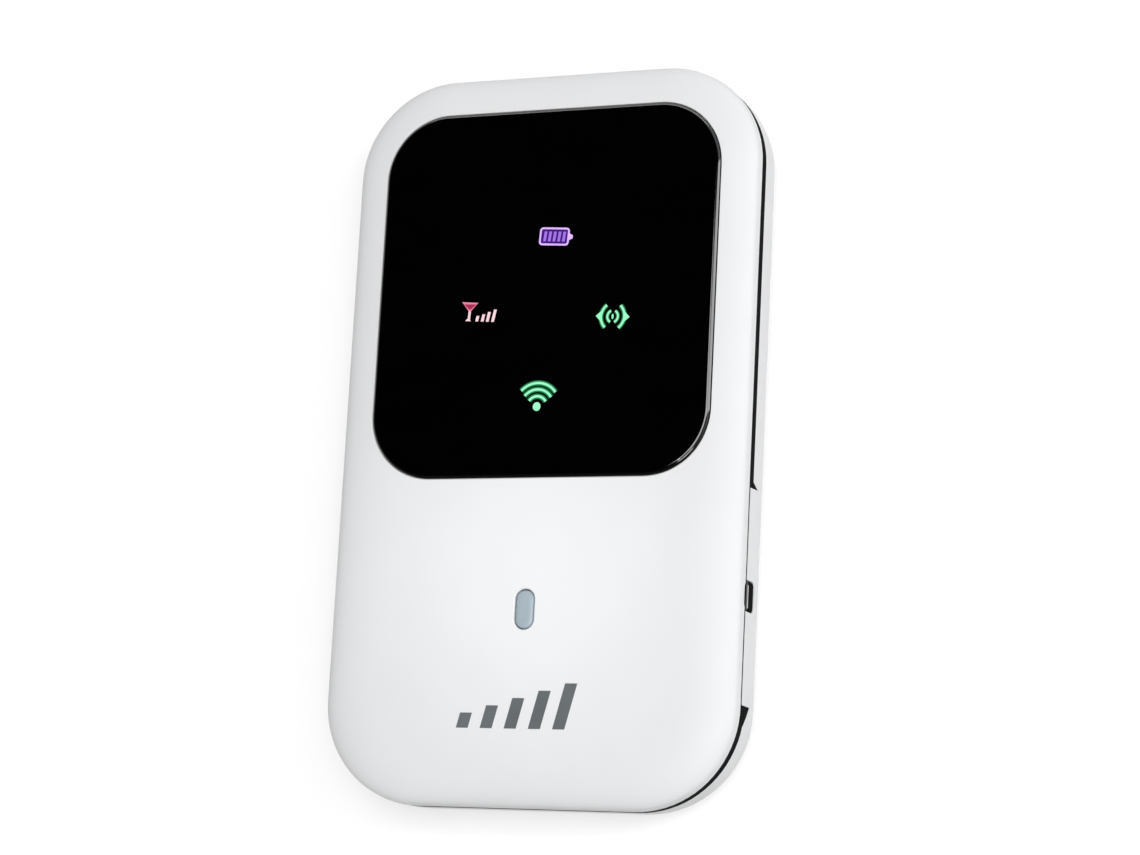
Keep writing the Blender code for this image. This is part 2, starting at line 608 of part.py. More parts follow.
def build_battery():
    """The battery, and the block with three sprung contacts that press on its top end."""
    battery = block("battery_pack", BATTERY_WIDTH, BATTERY_LENGTH, BATTERY_UNDER,
                    BATTERY_UNDER + BATTERY_HEIGHT, y=BATTERY_Y, corner=BATTERY_CORNER)
    round_edges(battery, BATTERY_EDGE, upward=True)
    round_edges(battery, BATTERY_EDGE, upward=False)
    as_part(battery, BATTERY_GREY)

    block_under = FLOOR_UNDER - CONTACT_BLOCK_DROP
    holder = span("contact_block", (-CONTACT_BLOCK_WIDTH / 2, CONTACT_BLOCK_WIDTH / 2),
                  (BLOCK_LOW, BLOCK_HIGH), (block_under, BELOW_BOARD))
    as_part(holder, HOLDER_BLACK)
    length = BLOCK_LOW - BATTERY_HIGH - 2 * STACK_GAP
    contact_y = (BLOCK_LOW + BATTERY_HIGH) / 2
    contact_low = block_under + CONTACT_BLOCK_DROP / 4
    for use, column in (("positive", -1), ("sense", 0), ("negative", 1)):
        contact = block(f"battery_contact_{use}", CONTACT_WIDTH, length, contact_low,
                        contact_low + CONTACT_HEIGHT, column * CONTACT_PITCH, contact_y)
        round_edges(contact, CONTACT_EDGE, upward=False)
        as_part(contact, CONTACT_GOLD)


def build_frame():
    """The dark chassis: a tray for the board, a seam flange, and a walled bay for the battery."""
    frame = body_block("chassis_frame", SKIRT_INSET, FLOOR_UNDER, (BAND_LOW + BAND_HIGH) / 2)
    join(frame, body_block("seam_flange", BAND_RECESS, BAND_LOW, BAND_HIGH))
    cut(frame, body_block("board_room", SKIRT_INSET + SKIRT_WALL, FLOOR_TOP, BAND_HIGH + CUT_OVER))

    bay_low = SHELL_WALL + BAY_LIFT
    reach = BAY_GAP + BAY_WALL
    bay = block("battery_bay", BATTERY_WIDTH + 2 * reach, BATTERY_LENGTH + 2 * reach, bay_low,
                FLOOR_UNDER + JOIN_OVER, y=BATTERY_Y, corner=BATTERY_CORNER + reach)
    cut(bay, block("bay_room", BATTERY_WIDTH + 2 * BAY_GAP, BATTERY_LENGTH + 2 * BAY_GAP,
                   bay_low - CUT_OVER, FLOOR_UNDER + CUT_OVER, y=BATTERY_Y, corner=BATTERY_CORNER + BAY_GAP))
    join(frame, bay)
    for place, (x, y) in SCREW_PLACES.items():
        join(frame, rod(f"standoff_{place}", BOSS_RADIUS, FLOOR_TOP - JOIN_OVER, BELOW_BOARD, x, y))
    for place, (x, y) in SCREW_PLACES.items():
        radius = SCREW_RADIUS + SCREW_HOLE_GAP
        cut(frame, rod(f"frame_hole_{place}", radius, FLOOR_UNDER - CUT_OVER, BOARD_TOP, x, y))

    cut(frame, block("service_window", BODY_WIDTH - 2 * WINDOW_SIDE_MARGIN, WINDOW_LENGTH,
                     FLOOR_UNDER - CUT_OVER, FLOOR_TOP + CUT_OVER, y=WINDOW_Y, corner=WINDOW_CORNER))
    block_reach = CONTACT_BLOCK_WIDTH / 2 + CONTACT_BLOCK_GAP
    cut(frame, span("contact_hole", (-block_reach, block_reach),
                    (BLOCK_LOW - CONTACT_BLOCK_GAP, BLOCK_HIGH + CONTACT_BLOCK_GAP),
                    (FLOOR_UNDER - CUT_OVER, FLOOR_TOP + CUT_OVER)))
    cut(frame, span("contact_gate", (-CONTACT_BLOCK_WIDTH / 2, CONTACT_BLOCK_WIDTH / 2),
                    (BATTERY_HIGH + BAY_GAP / 2, BLOCK_LOW - CONTACT_BLOCK_GAP / 2),
                    (bay_low - CUT_OVER, FLOOR_UNDER - BAY_GAP)))
    port_reach = PORT_WIDTH / 2 + SLIP_GAP
    cut(frame, span("port_gate", (-port_reach, port_reach), (PORT_BACK - SLIP_GAP, TOP_END + CUT_OVER),
                    (FLOOR_UNDER - CUT_OVER, BELOW_BOARD + SLIP_GAP)))
    for side in (-1, 1):
        for number, from_top in enumerate(RIB_FROM_TOP):
            y = TOP_END - from_top
            slot_floor = RIGHT_SIDE - SHELL_WALL - RIB_DEPTH - SLIP_GAP
            xs = sorted((side * slot_floor, side * (RIGHT_SIDE + CUT_OVER)))
            half = RIB_LENGTH / 2 + SLIP_GAP
            cut(frame, span(f"rib_slot_{number}_{side}", xs, (y - half, y + half),
                            (FLOOR_UNDER - CUT_OVER, REAR_RIM - RIB_BELOW_RIM + SLIP_GAP)))
    lug_half = NOTCH_LENGTH / 2 - SLIP_GAP
    join(frame, span("notch_lug", (RIGHT_SIDE - SKIRT_INSET - JOIN_OVER, RIGHT_SIDE - LUG_RECESS),
                     (NOTCH_Y - lug_half, NOTCH_Y + lug_half),
                     (REAR_RIM - NOTCH_BELOW_RIM + SLIP_GAP, BAND_LOW + JOIN_OVER)))
    flange_xs = (RIGHT_SIDE - SKIRT_INSET, RIGHT_SIDE + CUT_OVER)
    flange_zs = (REAR_RIM - SLIP_GAP, FRONT_RIM + CUT_OVER)
    cut(frame, span("tab_room_low", flange_xs, (TAB_LOW - SLIP_GAP, NOTCH_Y - lug_half), flange_zs))
    cut(frame, span("tab_room_high", flange_xs, (NOTCH_Y + lug_half, TAB_HIGH + SLIP_GAP), flange_zs))
    as_part(frame, FRAME_BLACK)


def build_antennas():
    """Three flat antennas under the chassis floor: one at the bottom end, two beside the port."""
    high = FLOOR_UNDER - STACK_GAP
    low = high - ANTENNA_THICKNESS
    end_y = TOP_END - ANTENNA_END_GAP - ANTENNA_DEPTH / 2
    screw_edge = SCREW_X - SCREW_HEAD_RADIUS
    main_length = 2 * (screw_edge - MAIN_ANTENNA_SCREW_GAP)
    near = PORT_WIDTH / 2 + SLIP_GAP + ANTENNA_PORT_GAP
    far = screw_edge - ANTENNA_SCREW_GAP
    middle = (near + far) / 2
    for name, length, x, y in (("main_antenna", main_length, 0.0, -end_y),
                               ("diversity_antenna", far - near, middle, end_y),
                               ("wireless_antenna", far - near, -middle, end_y)):
        as_part(block(name, length, ANTENNA_DEPTH, low, high, x, y, ANTENNA_CORNER), ANTENNA_AMBER)


def build_screws():
    """Four cross-head screws, up through the chassis and the board into the front shell."""
    seat = FLOOR_UNDER - STACK_GAP
    tip = ABOVE_BOARD + SCREW_BITE - seat
    profile = [
        (0.0, tip),
        (SCREW_RADIUS - SCREW_TIP, tip),
        (SCREW_RADIUS, tip - SCREW_TIP),
        (SCREW_RADIUS, 0.0),
        (SCREW_HEAD_RADIUS, 0.0),
        (SCREW_HEAD_RADIUS, SCREW_HEAD_EDGE - SCREW_HEAD_HEIGHT),
        (SCREW_HEAD_RADIUS - SCREW_HEAD_EDGE, -SCREW_HEAD_HEIGHT),
        (0.0, -SCREW_HEAD_HEIGHT),
    ]
    outline = bmesh.new()
    points = [outline.verts.new((radius, 0.0, height)) for radius, height in profile]
    for first, second in zip(points, points[1:]):
        outline.edges.new((first, second))
    pattern = from_bmesh("screw_pattern", outline, CUTTERS, (0, 0, 0))
    pattern.hide_render = True
    pattern.display_type = "WIRE"
    turn = pattern.modifiers.new("turn", "SCREW")
    turn.steps = ROUND_STEPS
    turn.render_steps = ROUND_STEPS
    turn.use_merge_vertices = True
    turn.merge_threshold = WELD
    recess_top = CROSS_DEPTH - SCREW_HEAD_HEIGHT
    for name, width, length in (("cross_along", CROSS_WIDTH, CROSS_LENGTH),
                                ("cross_over", CROSS_LENGTH, CROSS_WIDTH)):
        cut(pattern, block(name, width, length, -SCREW_HEAD_HEIGHT - CUT_OVER, recess_top))
    mesh = baked_mesh(pattern)
    for place, (x, y) in SCREW_PLACES.items():
        as_part(make_object(f"screw_{place}", mesh, CUTTERS, (x, y, seat)), SCREW_STEEL)


def build_rear_cover():
    """The white rear cover: a deep round-edged tray with a raised tab that has a nail notch."""
    tab_top = FRONT_RIM - TAB_GAP
    side = tab_top - (REAR_RIM - REAR_SIDE)
    round_fall = REAR_RIM - REAR_SIDE
    cover = pillow("rear_cover", 0.0, tab_top, -side, REAR_ROUND, round_fall, REAR_ROUND_POWER)
    cut(cover, pillow("cover_room", SHELL_WALL, tab_top + CUT_OVER, -side - CUT_OVER, REAR_ROUND,
                      round_fall - SHELL_WALL, REAR_ROUND_POWER))
    trim = body_block("rim_trim", -CUT_OVER, REAR_RIM, tab_top + CUT_OVER)
    cut(trim, span("tab_keep", (RIGHT_SIDE - SHELL_WALL - CUT_OVER, RIGHT_SIDE + 2 * CUT_OVER),
                   (TAB_LOW, TAB_HIGH), (REAR_RIM - CUT_OVER, tab_top + 2 * CUT_OVER)))
    cut(cover, trim)
    for side_sign in (-1, 1):
        for number, from_top in enumerate(RIB_FROM_TOP):
            y = TOP_END - from_top
            rib_top = REAR_RIM - RIB_BELOW_RIM
            inner = RIGHT_SIDE - SHELL_WALL
            xs = sorted((side_sign * (inner - RIB_DEPTH), side_sign * (inner + JOIN_OVER)))
            join(cover, span(f"rib_{number}_{side_sign}", xs, (y - RIB_LENGTH / 2, y + RIB_LENGTH / 2),
                             (rib_top - RIB_HEIGHT, rib_top)))
    cut(cover, span("notch_room", (RIGHT_SIDE - SHELL_WALL - CUT_OVER, RIGHT_SIDE + CUT_OVER),
                    (NOTCH_Y - NOTCH_LENGTH / 2, NOTCH_Y + NOTCH_LENGTH / 2),
                    (REAR_RIM - NOTCH_BELOW_RIM, tab_top + CUT_OVER)))
    cut(cover, port_tube("port_hole", PORT_HOLE_MARGIN, PORT_HOLE_CORNER,
                         TOP_END - SHELL_WALL - PORT_INSET / 2, TOP_END + CUT_OVER))
    as_part(cover, SHELL_WHITE)


build_front_shell()
build_window()
build_power_key()
build_board()
build_shields()
build_port()
build_service_parts()
build_battery()
build_frame()
build_antennas()
build_screws()
build_rear_cover()
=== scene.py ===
"""The looks of the pocket hotspot: fine shells, window, lit symbols, finishes, light and camera.

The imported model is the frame. Lengths are in metres. X runs to the right of the front face, Y to
its top end and Z out of it, and the origin is the middle of the back.
"""
import json
import math

import bmesh
import bpy
from mathutils import Matrix, Vector


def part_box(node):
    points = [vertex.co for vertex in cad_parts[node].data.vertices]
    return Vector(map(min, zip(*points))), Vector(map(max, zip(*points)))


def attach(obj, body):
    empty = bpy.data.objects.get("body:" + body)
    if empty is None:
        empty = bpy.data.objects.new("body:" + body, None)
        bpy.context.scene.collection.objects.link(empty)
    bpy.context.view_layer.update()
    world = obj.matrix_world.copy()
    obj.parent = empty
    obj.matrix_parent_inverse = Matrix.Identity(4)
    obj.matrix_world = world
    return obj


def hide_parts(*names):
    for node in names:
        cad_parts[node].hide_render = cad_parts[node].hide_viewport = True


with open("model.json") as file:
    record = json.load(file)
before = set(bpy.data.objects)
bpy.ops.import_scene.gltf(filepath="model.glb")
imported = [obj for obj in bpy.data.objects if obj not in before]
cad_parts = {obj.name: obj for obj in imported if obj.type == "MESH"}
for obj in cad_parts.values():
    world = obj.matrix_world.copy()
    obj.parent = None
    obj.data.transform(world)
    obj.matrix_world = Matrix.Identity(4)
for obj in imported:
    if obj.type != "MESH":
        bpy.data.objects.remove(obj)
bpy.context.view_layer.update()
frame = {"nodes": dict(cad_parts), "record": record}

MM = 0.001

# Sizes read from the frame
FRONT_LOW, FRONT_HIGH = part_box("front_shell")
LENS_LOW, LENS_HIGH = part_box("display_lens")
KEY_LOW, KEY_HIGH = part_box("power_key")
COVER_LOW, COVER_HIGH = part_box("rear_cover")
PORT_LOW, PORT_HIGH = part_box("usb_shell")
BODY = (FRONT_HIGH.x - FRONT_LOW.x, FRONT_HIGH.y - FRONT_LOW.y)
LENS = (LENS_HIGH.x - LENS_LOW.x, LENS_HIGH.y - LENS_LOW.y)
LENS_PLACE = ((LENS_LOW.x + LENS_HIGH.x) / 2, (LENS_LOW.y + LENS_HIGH.y) / 2)
KEY_PLACE = ((KEY_LOW.x + KEY_HIGH.x) / 2, (KEY_LOW.y + KEY_HIGH.y) / 2)
RIGHT_SIDE = FRONT_HIGH.x
TOP_END = FRONT_HIGH.y
FRONT_FACE = FRONT_HIGH.z
LENS_TOP = LENS_HIGH.z
TAB_TOP = COVER_HIGH.z

# Shell form
BODY_CORNER = 13.7 * MM
REAR_RIM = 9.1 * MM
FRONT_RIM = TAB_TOP + 0.15 * MM
RIM_ROUND = 0.12 * MM
REAR_RIM_ROUND = 0.45 * MM
FRONT_SIDE = 0.9 * MM
FRONT_DRAFT = 0.12 * MM
FRONT_PILLOW = 8.0 * MM
FRONT_PILLOW_POWER = 2.4
REAR_SIDE = 2.2 * MM
REAR_ROUND = 5.0 * MM
SHELL_WALL = 1.5 * MM
CEILING = FRONT_FACE - 1.7 * MM
BOSS_FOOT = FRONT_LOW.z
BOSS_RADIUS = 2.1 * MM
BOSS_HOLE_RADIUS = 0.95 * MM
BOSS_HOLE_DEPTH = 2.15 * MM

# Window pocket, lens and key
LENS_CORNER = 8.8 * MM
LENS_BOW = 0.5 * MM
LENS_GAP = 0.12 * MM
POCKET_FLOOR = LENS_LOW.z - 0.5 * MM
LEDGE_WIDTH = 2.4 * MM
LEDGE_UNDER = POCKET_FLOOR - 0.9 * MM
FLARE = 0.15 * MM
KEY_ROOM_INSET = 2.1 * MM
KEY_FLANGE_LIP = 1.4 * MM
KEY_FLANGE_TOP = KEY_LOW.z + 0.7 * MM
KEY_GAP = 0.15 * MM
KEY_SHOULDER = 0.4 * MM
KEY_CROWN = 0.9 * MM

# Black band in the seam, and the lug behind the nail notch
BAND_INSET = 0.01 * MM
BAND_DEPTH = 1.0 * MM
BAND_LOW = REAR_RIM + 0.02 * MM
BAND_HIGH = FRONT_RIM - 0.02 * MM
LUG_INSET = 0.1 * MM
LUG_LOW = 7.2 * MM
LUG_HIGH = 9.0 * MM
LUG_EDGE = 0.1 * MM
LUG_DEPTH = 0.5 * MM
CATCH_INSET = 0.16 * MM
CATCH_HIGH = 9.9 * MM
CATCH_EDGE = 0.2 * MM
CATCH_END_ROOM = 0.4 * MM

# Rear cover's tab, the wedges beside it, notch, ribs and port hole
TAB_LENGTH = 28.3 * MM
TAB_Y = -21.6 * MM
TAB_ROOT = 0.8 * MM
TAB_SETBACK = 0.01 * MM
TAB_EDGE = 0.35 * MM
TAB_LIP = TAB_TOP - 0.25 * MM
TAB_ENDS = (TAB_Y - TAB_LENGTH / 2, TAB_Y + TAB_LENGTH / 2)
TAB_ROOM = 0.1 * MM
WEDGE_DEPTH = 1.9 * MM
WEDGE_REACHES = (2.8 * MM, 0.9 * MM)
WEDGE_FIT = 0.06 * MM
NOTCH_LENGTH = 4.1 * MM
NOTCH_LOW = 7.0 * MM
NOTCH_HIGH = 11.0 * MM
NOTCH_CORNER = 1.1 * MM
RIB_PLACES = (25.75 * MM, 3.75 * MM)
RIB_LENGTH = 4.0 * MM
RIB_DEPTH = 0.8 * MM
RIB_LOW = 7.0 * MM
RIB_HIGH = 9.0 * MM
PORT_HOLE_MARGIN = 0.55 * MM
PORT_HOLE_CORNER = 1.1 * MM
PORT_HOLE_FLARE = 0.35 * MM

# Symbols printed on the window, and the mark on the lower front
PRINT_LAYER = 0.01 * MM
SYMBOL_TURN = math.radians(-3.5)
TWELVE_TURNS = [math.radians(30 * number) for number in range(12)]
MARK_MIDDLE = (-1.5 * MM, -36.6 * MM)
MARK_BARS = 5
MARK_PITCH = 3.4 * MM
MARK_BAR_WIDTH = 1.7 * MM
MARK_LOWEST = 2.0 * MM
MARK_HIGHEST = 6.0 * MM
MARK_SLANT = 0.25

# Facets
CORNER_STEPS = 20
EDGE_STEPS = 5
PILLOW_STEPS = 18
ROUND_STEPS = 10
OVER = 2.0 * MM
JOIN_OVER = 0.4 * MM
WELD = 0.0005 * MM
SHARP_ANGLE = math.radians(32)


# Mesh helpers
def to_object(name, shape):
    """Turn a bmesh into an object in the scene."""
    bmesh.ops.remove_doubles(shape, verts=shape.verts, dist=WELD)
    bmesh.ops.recalc_face_normals(shape, faces=shape.faces)
    mesh = bpy.data.meshes.new(name)
    shape.to_mesh(mesh)
    shape.free()
    piece = bpy.data.objects.new(name, mesh)
    bpy.context.scene.collection.objects.link(piece)
    return piece


def outline(width, length, corner, steps):
    """Points round a rectangle with rounded corners, anticlockwise."""
    points = []
    for turn, (way_x, way_y) in enumerate(((1, 1), (-1, 1), (-1, -1), (1, -1))):
        middle = Vector((way_x * (width / 2 - corner), way_y * (length / 2 - corner)))
        for step in range(steps + 1):
            angle = math.radians(90 * (turn + step / steps))
            points.append(middle + corner * Vector((math.cos(angle), math.sin(angle))))
    return points


def arc(start, end, power=2.0, steps=EDGE_STEPS):
    """Profile points from an upright start to a level end, along a quarter of an ellipse."""
    points = []
    for step in range(steps + 1):
        turn = math.pi / 2 * step / steps
        along = 1 - max(math.cos(turn), 0.0) ** (2 / power)
        up = math.sin(turn) ** (2 / power)
        points.append((start[0] + (end[0] - start[0]) * along, start[1] + (end[1] - start[1]) * up))
    return points


def bow(start, end, steps=PILLOW_STEPS):
    """Profile points from a sloping start to a level end, along half of a parabola."""
    points = []
    for step in range(steps + 1):
        along = step / steps
        points.append((start[0] + (end[0] - start[0]) * along, end[1] - (end[1] - start[1]) * (1 - along) ** 2))
    return points


def loft(name, size, corner, profile, place=(0.0, 0.0), steps=CORNER_STEPS):
    """A closed solid whose rounded outline is carried through (inset, height) pairs."""
    shape = bmesh.new()
    rings = []
    for inset, height in profile:
        points = outline(size[0] - 2 * inset, size[1] - 2 * inset, max(corner - inset, 0.0), steps)
        rings.append([shape.verts.new((x + place[0], y + place[1], height)) for x, y in points])
    for lower, upper in zip(rings, rings[1:]):
        for index in range(len(lower)):
            after = (index + 1) % len(lower)
            shape.faces.new((lower[index], lower[after], upper[after], upper[index]))
    shape.faces.new(list(reversed(rings[0])))
    shape.faces.new(rings[-1])
    return to_object(name, shape)


def rod(name, radius, low, high, place):
    """An upright cylinder between two levels."""
    return loft(name, (2 * radius, 2 * radius), radius, [(0, low), (0, high)], place, ROUND_STEPS)


def block(name, xs, ys, zs, corner=0.0, edge=0.0):
    """A box between two corners, with rounded upright edges and a rounded top rim."""
    size = (xs[1] - xs[0], ys[1] - ys[0])
    place = ((xs[0] + xs[1]) / 2, (ys[0] + ys[1]) / 2)
    return loft(name, size, corner, [(0, zs[0]), *arc((0, zs[1] - edge), (edge, zs[1]))], place, EDGE_STEPS)


def prism(name, corners, low, high):
    """A flat-sided solid with a cornered outline between two levels."""
    return slab(name, [corners], low, high)


def slab(name, patches, low, high):
    """Flat patches joined where they share an edge and raised from one level to another."""
    shape = bmesh.new()
    for patch in patches:
        shape.faces.new([shape.verts.new((x, y, low)) for x, y in patch])
    bmesh.ops.remove_doubles(shape, verts=shape.verts, dist=WELD)
    rim = [edge.verts[:] for edge in shape.edges if edge.is_boundary]
    raised = {corner: shape.verts.new((corner.co.x, corner.co.y, high)) for corner in shape.verts[:]}
    for face in shape.faces[:]:
        shape.faces.new([raised[corner] for corner in face.verts])
    for start, end in rim:
        shape.faces.new((start, end, raised[end], raised[start]))
    return to_object(name, shape)


def turned(piece, angle, axis, place):
    """Turn a piece's mesh about an axis through the origin, then move it to its place."""
    piece.data.transform(Matrix.Translation(place) @ Matrix.Rotation(math.radians(angle), 4, axis))
    return piece


def carve(piece, operation, *tools):
    """Cut a piece with tools or join them to it, and remove the tools."""
    for tool in tools:
        step = piece.modifiers.new(tool.name, "BOOLEAN")
        step.operation = operation
        step.object = tool
        step.solver = "EXACT"
    graph = bpy.context.evaluated_depsgraph_get()
    mesh = bpy.data.meshes.new_from_object(piece.evaluated_get(graph), depsgraph=graph)
    piece.modifiers.clear()
    piece.data = mesh
    for tool in tools:
        bpy.data.objects.remove(tool, do_unlink=True)


def weld(mesh):
    """Join corners that lie closer than any real detail, and drop the faces that this leaves empty."""
    shape = bmesh.new()
    shape.from_mesh(mesh)
    bmesh.ops.remove_doubles(shape, verts=shape.verts, dist=WELD)
    bmesh.ops.dissolve_degenerate(shape, edges=shape.edges, dist=WELD)
    shape.to_mesh(mesh)
    shape.free()


def dress(piece, material, slot, body, *nodes):
    """Give a finished piece its material, smooth shading and body, and hide the nodes that it stands for."""
    weld(piece.data)
    piece.data.materials.clear()
    piece.data.materials.append(material)
    piece.data.shade_smooth()
    piece.data.set_sharp_from_angle(angle=SHARP_ANGLE)
    even = piece.modifiers.new("even_shading", "WEIGHTED_NORMAL")
    even.keep_sharp = True
    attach(piece, body)
    if nodes:
        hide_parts(*nodes)


# Material helpers
def start_material(name, roughness=0.5, metallic=0.0, specular=0.5):
    material = bpy.data.materials.new(name)
    material.use_nodes = True
    tree = material.node_tree
    shader = tree.nodes["Principled BSDF"]
    shader.inputs["Roughness"].default_value = roughness
    shader.inputs["Metallic"].default_value = metallic
    shader.inputs["Specular IOR Level"].default_value = specular
    return material, tree, shader


def grain(tree, size, detail=2.0, stretch=(1.0, 1.0, 1.0)):
    """Noise with features of a given size, drawn out along the axes with a small stretch."""
    place = tree.nodes.new("ShaderNodeTexCoord")
    mapping = tree.nodes.new("ShaderNodeMapping")
    mapping.inputs["Scale"].default_value = stretch
    noise = tree.nodes.new("ShaderNodeTexNoise")
    noise.inputs["Scale"].default_value = 1 / size
    noise.inputs["Detail"].default_value = detail
    tree.links.new(place.outputs["Object"], mapping.inputs["Vector"])
    tree.links.new(mapping.outputs["Vector"], noise.inputs["Vector"])
    return noise.outputs["Fac"]


def vary_colour(tree, shader, field, low, high, start=0.35, end=0.65):
    """Let the colour run between two values with a field."""
    ramp = tree.nodes.new("ShaderNodeValToRGB")
    ramp.color_ramp.elements[0].position = start
    ramp.color_ramp.elements[0].color = (*low, 1.0)
    ramp.color_ramp.elements[1].position = end
    ramp.color_ramp.elements[1].color = (*high, 1.0)
    tree.links.new(field, ramp.inputs["Fac"])
    tree.links.new(ramp.outputs["Color"], shader.inputs["Base Color"])


def vary_roughness(tree, shader, field, low, high):
    """Let the roughness run between two values with a field."""
    spread = tree.nodes.new("ShaderNodeMapRange")
    spread.inputs["From Min"].default_value = 0.3
    spread.inputs["From Max"].default_value = 0.7
    spread.inputs["To Min"].default_value = low
    spread.inputs["To Max"].default_value = high
    tree.links.new(field, spread.inputs["Value"])
    tree.links.new(spread.outputs["Result"], shader.inputs["Roughness"])


def raise_grain(tree, shader, field, depth, strength=0.5):
    """Let a field raise the surface by a small depth."""
    bump = tree.nodes.new("ShaderNodeBump")
    bump.inputs["Strength"].default_value = strength
    bump.inputs["Distance"].default_value = depth
    tree.links.new(field, bump.inputs["Height"])
    tree.links.new(bump.outputs["Normal"], shader.inputs["Normal"])


def shade(colour, factor):
    return tuple(channel * factor for channel in colour)


def moulded(name, colour, roughness, grain_size=0.15 * MM, grain_depth=0.002 * MM, variation=0.02, specular=0.5):
    """Moulded plastic: fine spark-eroded grain, and a faint drift of tone and gloss."""
    material, tree, shader = start_material(name, specular=specular)
    drift = grain(tree, 9 * MM)
    vary_colour(tree, shader, drift, shade(colour, 1 - variation), shade(colour, 1 + variation))
    vary_roughness(tree, shader, grain(tree, 4 * MM, 3.0), roughness - 0.05, roughness + 0.05)
    raise_grain(tree, shader, grain(tree, grain_size), grain_depth)
    return material


def polished(name, colour, roughness):
    """A polished and coated window: nearly flat, with faint wiping marks in its gloss."""
    material, tree, shader = start_material(name, specular=1.0)
    vary_colour(tree, shader, grain(tree, 15 * MM), shade(colour, 0.8), shade(colour, 1.2))
    wipes = grain(tree, 3 * MM, 4.0, (0.3, 1.0, 1.0))
    vary_roughness(tree, shader, wipes, roughness, roughness + 0.05)
    raise_grain(tree, shader, grain(tree, 25 * MM), 0.004 * MM, 0.2)
    return material


def sheet_metal(name, colour, roughness, along=(0.06, 1.0, 1.0)):
    """Rolled or drawn metal: fine lines along one axis, and cloudy tone."""
    material, tree, shader = start_material(name, roughness, 1.0)
    vary_colour(tree, shader, grain(tree, 3 * MM, 3.0), shade(colour, 0.88), shade(colour, 1.08))
    lines = grain(tree, 0.12 * MM, 2.0, along)
    vary_roughness(tree, shader, lines, roughness - 0.08, roughness + 0.1)
    raise_grain(tree, shader, lines, 0.002 * MM)
    return material


def foam(name, colour, roughness):
    """Soft closed-cell foam or silicone: small cells raised over the surface."""
    material, tree, shader = start_material(name, roughness)
    place = tree.nodes.new("ShaderNodeTexCoord")
    cells = tree.nodes.new("ShaderNodeTexVoronoi")
    cells.inputs["Scale"].default_value = 1 / (0.25 * MM)
    tree.links.new(place.outputs["Object"], cells.inputs["Vector"])
    vary_colour(tree, shader, cells.outputs["Distance"], shade(colour, 1.15), shade(colour, 0.8), 0.1, 0.7)
    raise_grain(tree, shader, cells.outputs["Distance"], 0.02 * MM)
    return material


def circuit_board(name, mask, trace):
    """Green solder mask over copper runs, raised lines that lie along or across from patch to patch."""
    material, tree, shader = start_material(name, 0.4)
    place = tree.nodes.new("ShaderNodeTexCoord")
    patches = tree.nodes.new("ShaderNodeTexVoronoi")
    patches.distance = "CHEBYCHEV"
    patches.inputs["Scale"].default_value = 1 / (4 * MM)
    across = tree.nodes.new("ShaderNodeMath")
    across.operation = "GREATER_THAN"
    runs = tree.nodes.new("ShaderNodeMix")
    tree.links.new(place.outputs["Object"], patches.inputs["Vector"])
    tree.links.new(patches.outputs["Color"], across.inputs[0])
    tree.links.new(across.outputs["Value"], runs.inputs["Factor"])
    for direction, way in (("X", "A"), ("Y", "B")):
        lines = tree.nodes.new("ShaderNodeTexWave")
        lines.bands_direction = direction
        lines.inputs["Scale"].default_value = 1 / (1.6 * MM)
        tree.links.new(place.outputs["Object"], lines.inputs["Vector"])
        tree.links.new(lines.outputs["Fac"], runs.inputs[way])
    vary_colour(tree, shader, runs.outputs["Result"], mask, trace, 0.55, 0.75)
    vary_roughness(tree, shader, grain(tree, 2 * MM), 0.3, 0.45)
    raise_grain(tree, shader, runs.outputs["Result"], 0.02 * MM)
    return material


def flexible_circuit(name, film, copper):
    """Amber film with a winding copper run inside it."""
    material, tree, shader = start_material(name, 0.35)
    place = tree.nodes.new("ShaderNodeTexCoord")
    bands = tree.nodes.new("ShaderNodeTexWave")
    bands.inputs["Scale"].default_value = 1 / (4 * MM)
    bands.inputs["Distortion"].default_value = 0.4
    tree.links.new(place.outputs["Object"], bands.inputs["Vector"])
    vary_colour(tree, shader, bands.outputs["Fac"], film, copper, 0.4, 0.6)
    vary_roughness(tree, shader, grain(tree, 1 * MM), 0.28, 0.42)
    raise_grain(tree, shader, bands.outputs["Fac"], 0.015 * MM)
    return material


def wrapped(name, colour, roughness):
    """Shrink film round a pack: soft creases and cloudy gloss."""
    material, tree, shader = start_material(name)
    vary_colour(tree, shader, grain(tree, 6 * MM, 3.0), shade(colour, 0.9), shade(colour, 1.1))
    vary_roughness(tree, shader, grain(tree, 2 * MM, 4.0), roughness - 0.1, roughness + 0.1)
    raise_grain(tree, shader, grain(tree, 5 * MM, 3.0, (1.0, 0.35, 1.0)), 0.08 * MM, 0.4)
    return material


def lit(name, colour, strength=1.0):
    """Ink lit from behind, a little uneven where the light spreads."""
    material, tree, shader = start_material(name, 0.3)
    shader.inputs["Base Color"].default_value = (*shade(colour, 0.3), 1.0)
    shader.inputs["Emission Strength"].default_value = strength
    ramp = tree.nodes.new("ShaderNodeValToRGB")
    ramp.color_ramp.elements[0].position = 0.3
    ramp.color_ramp.elements[0].color = (*shade(colour, 0.85), 1.0)
    ramp.color_ramp.elements[1].position = 0.7
    ramp.color_ramp.elements[1].color = (*colour, 1.0)
    tree.links.new(grain(tree, 0.8 * MM), ramp.inputs["Fac"])
    tree.links.new(ramp.outputs["Color"], shader.inputs["Emission Color"])
    return material


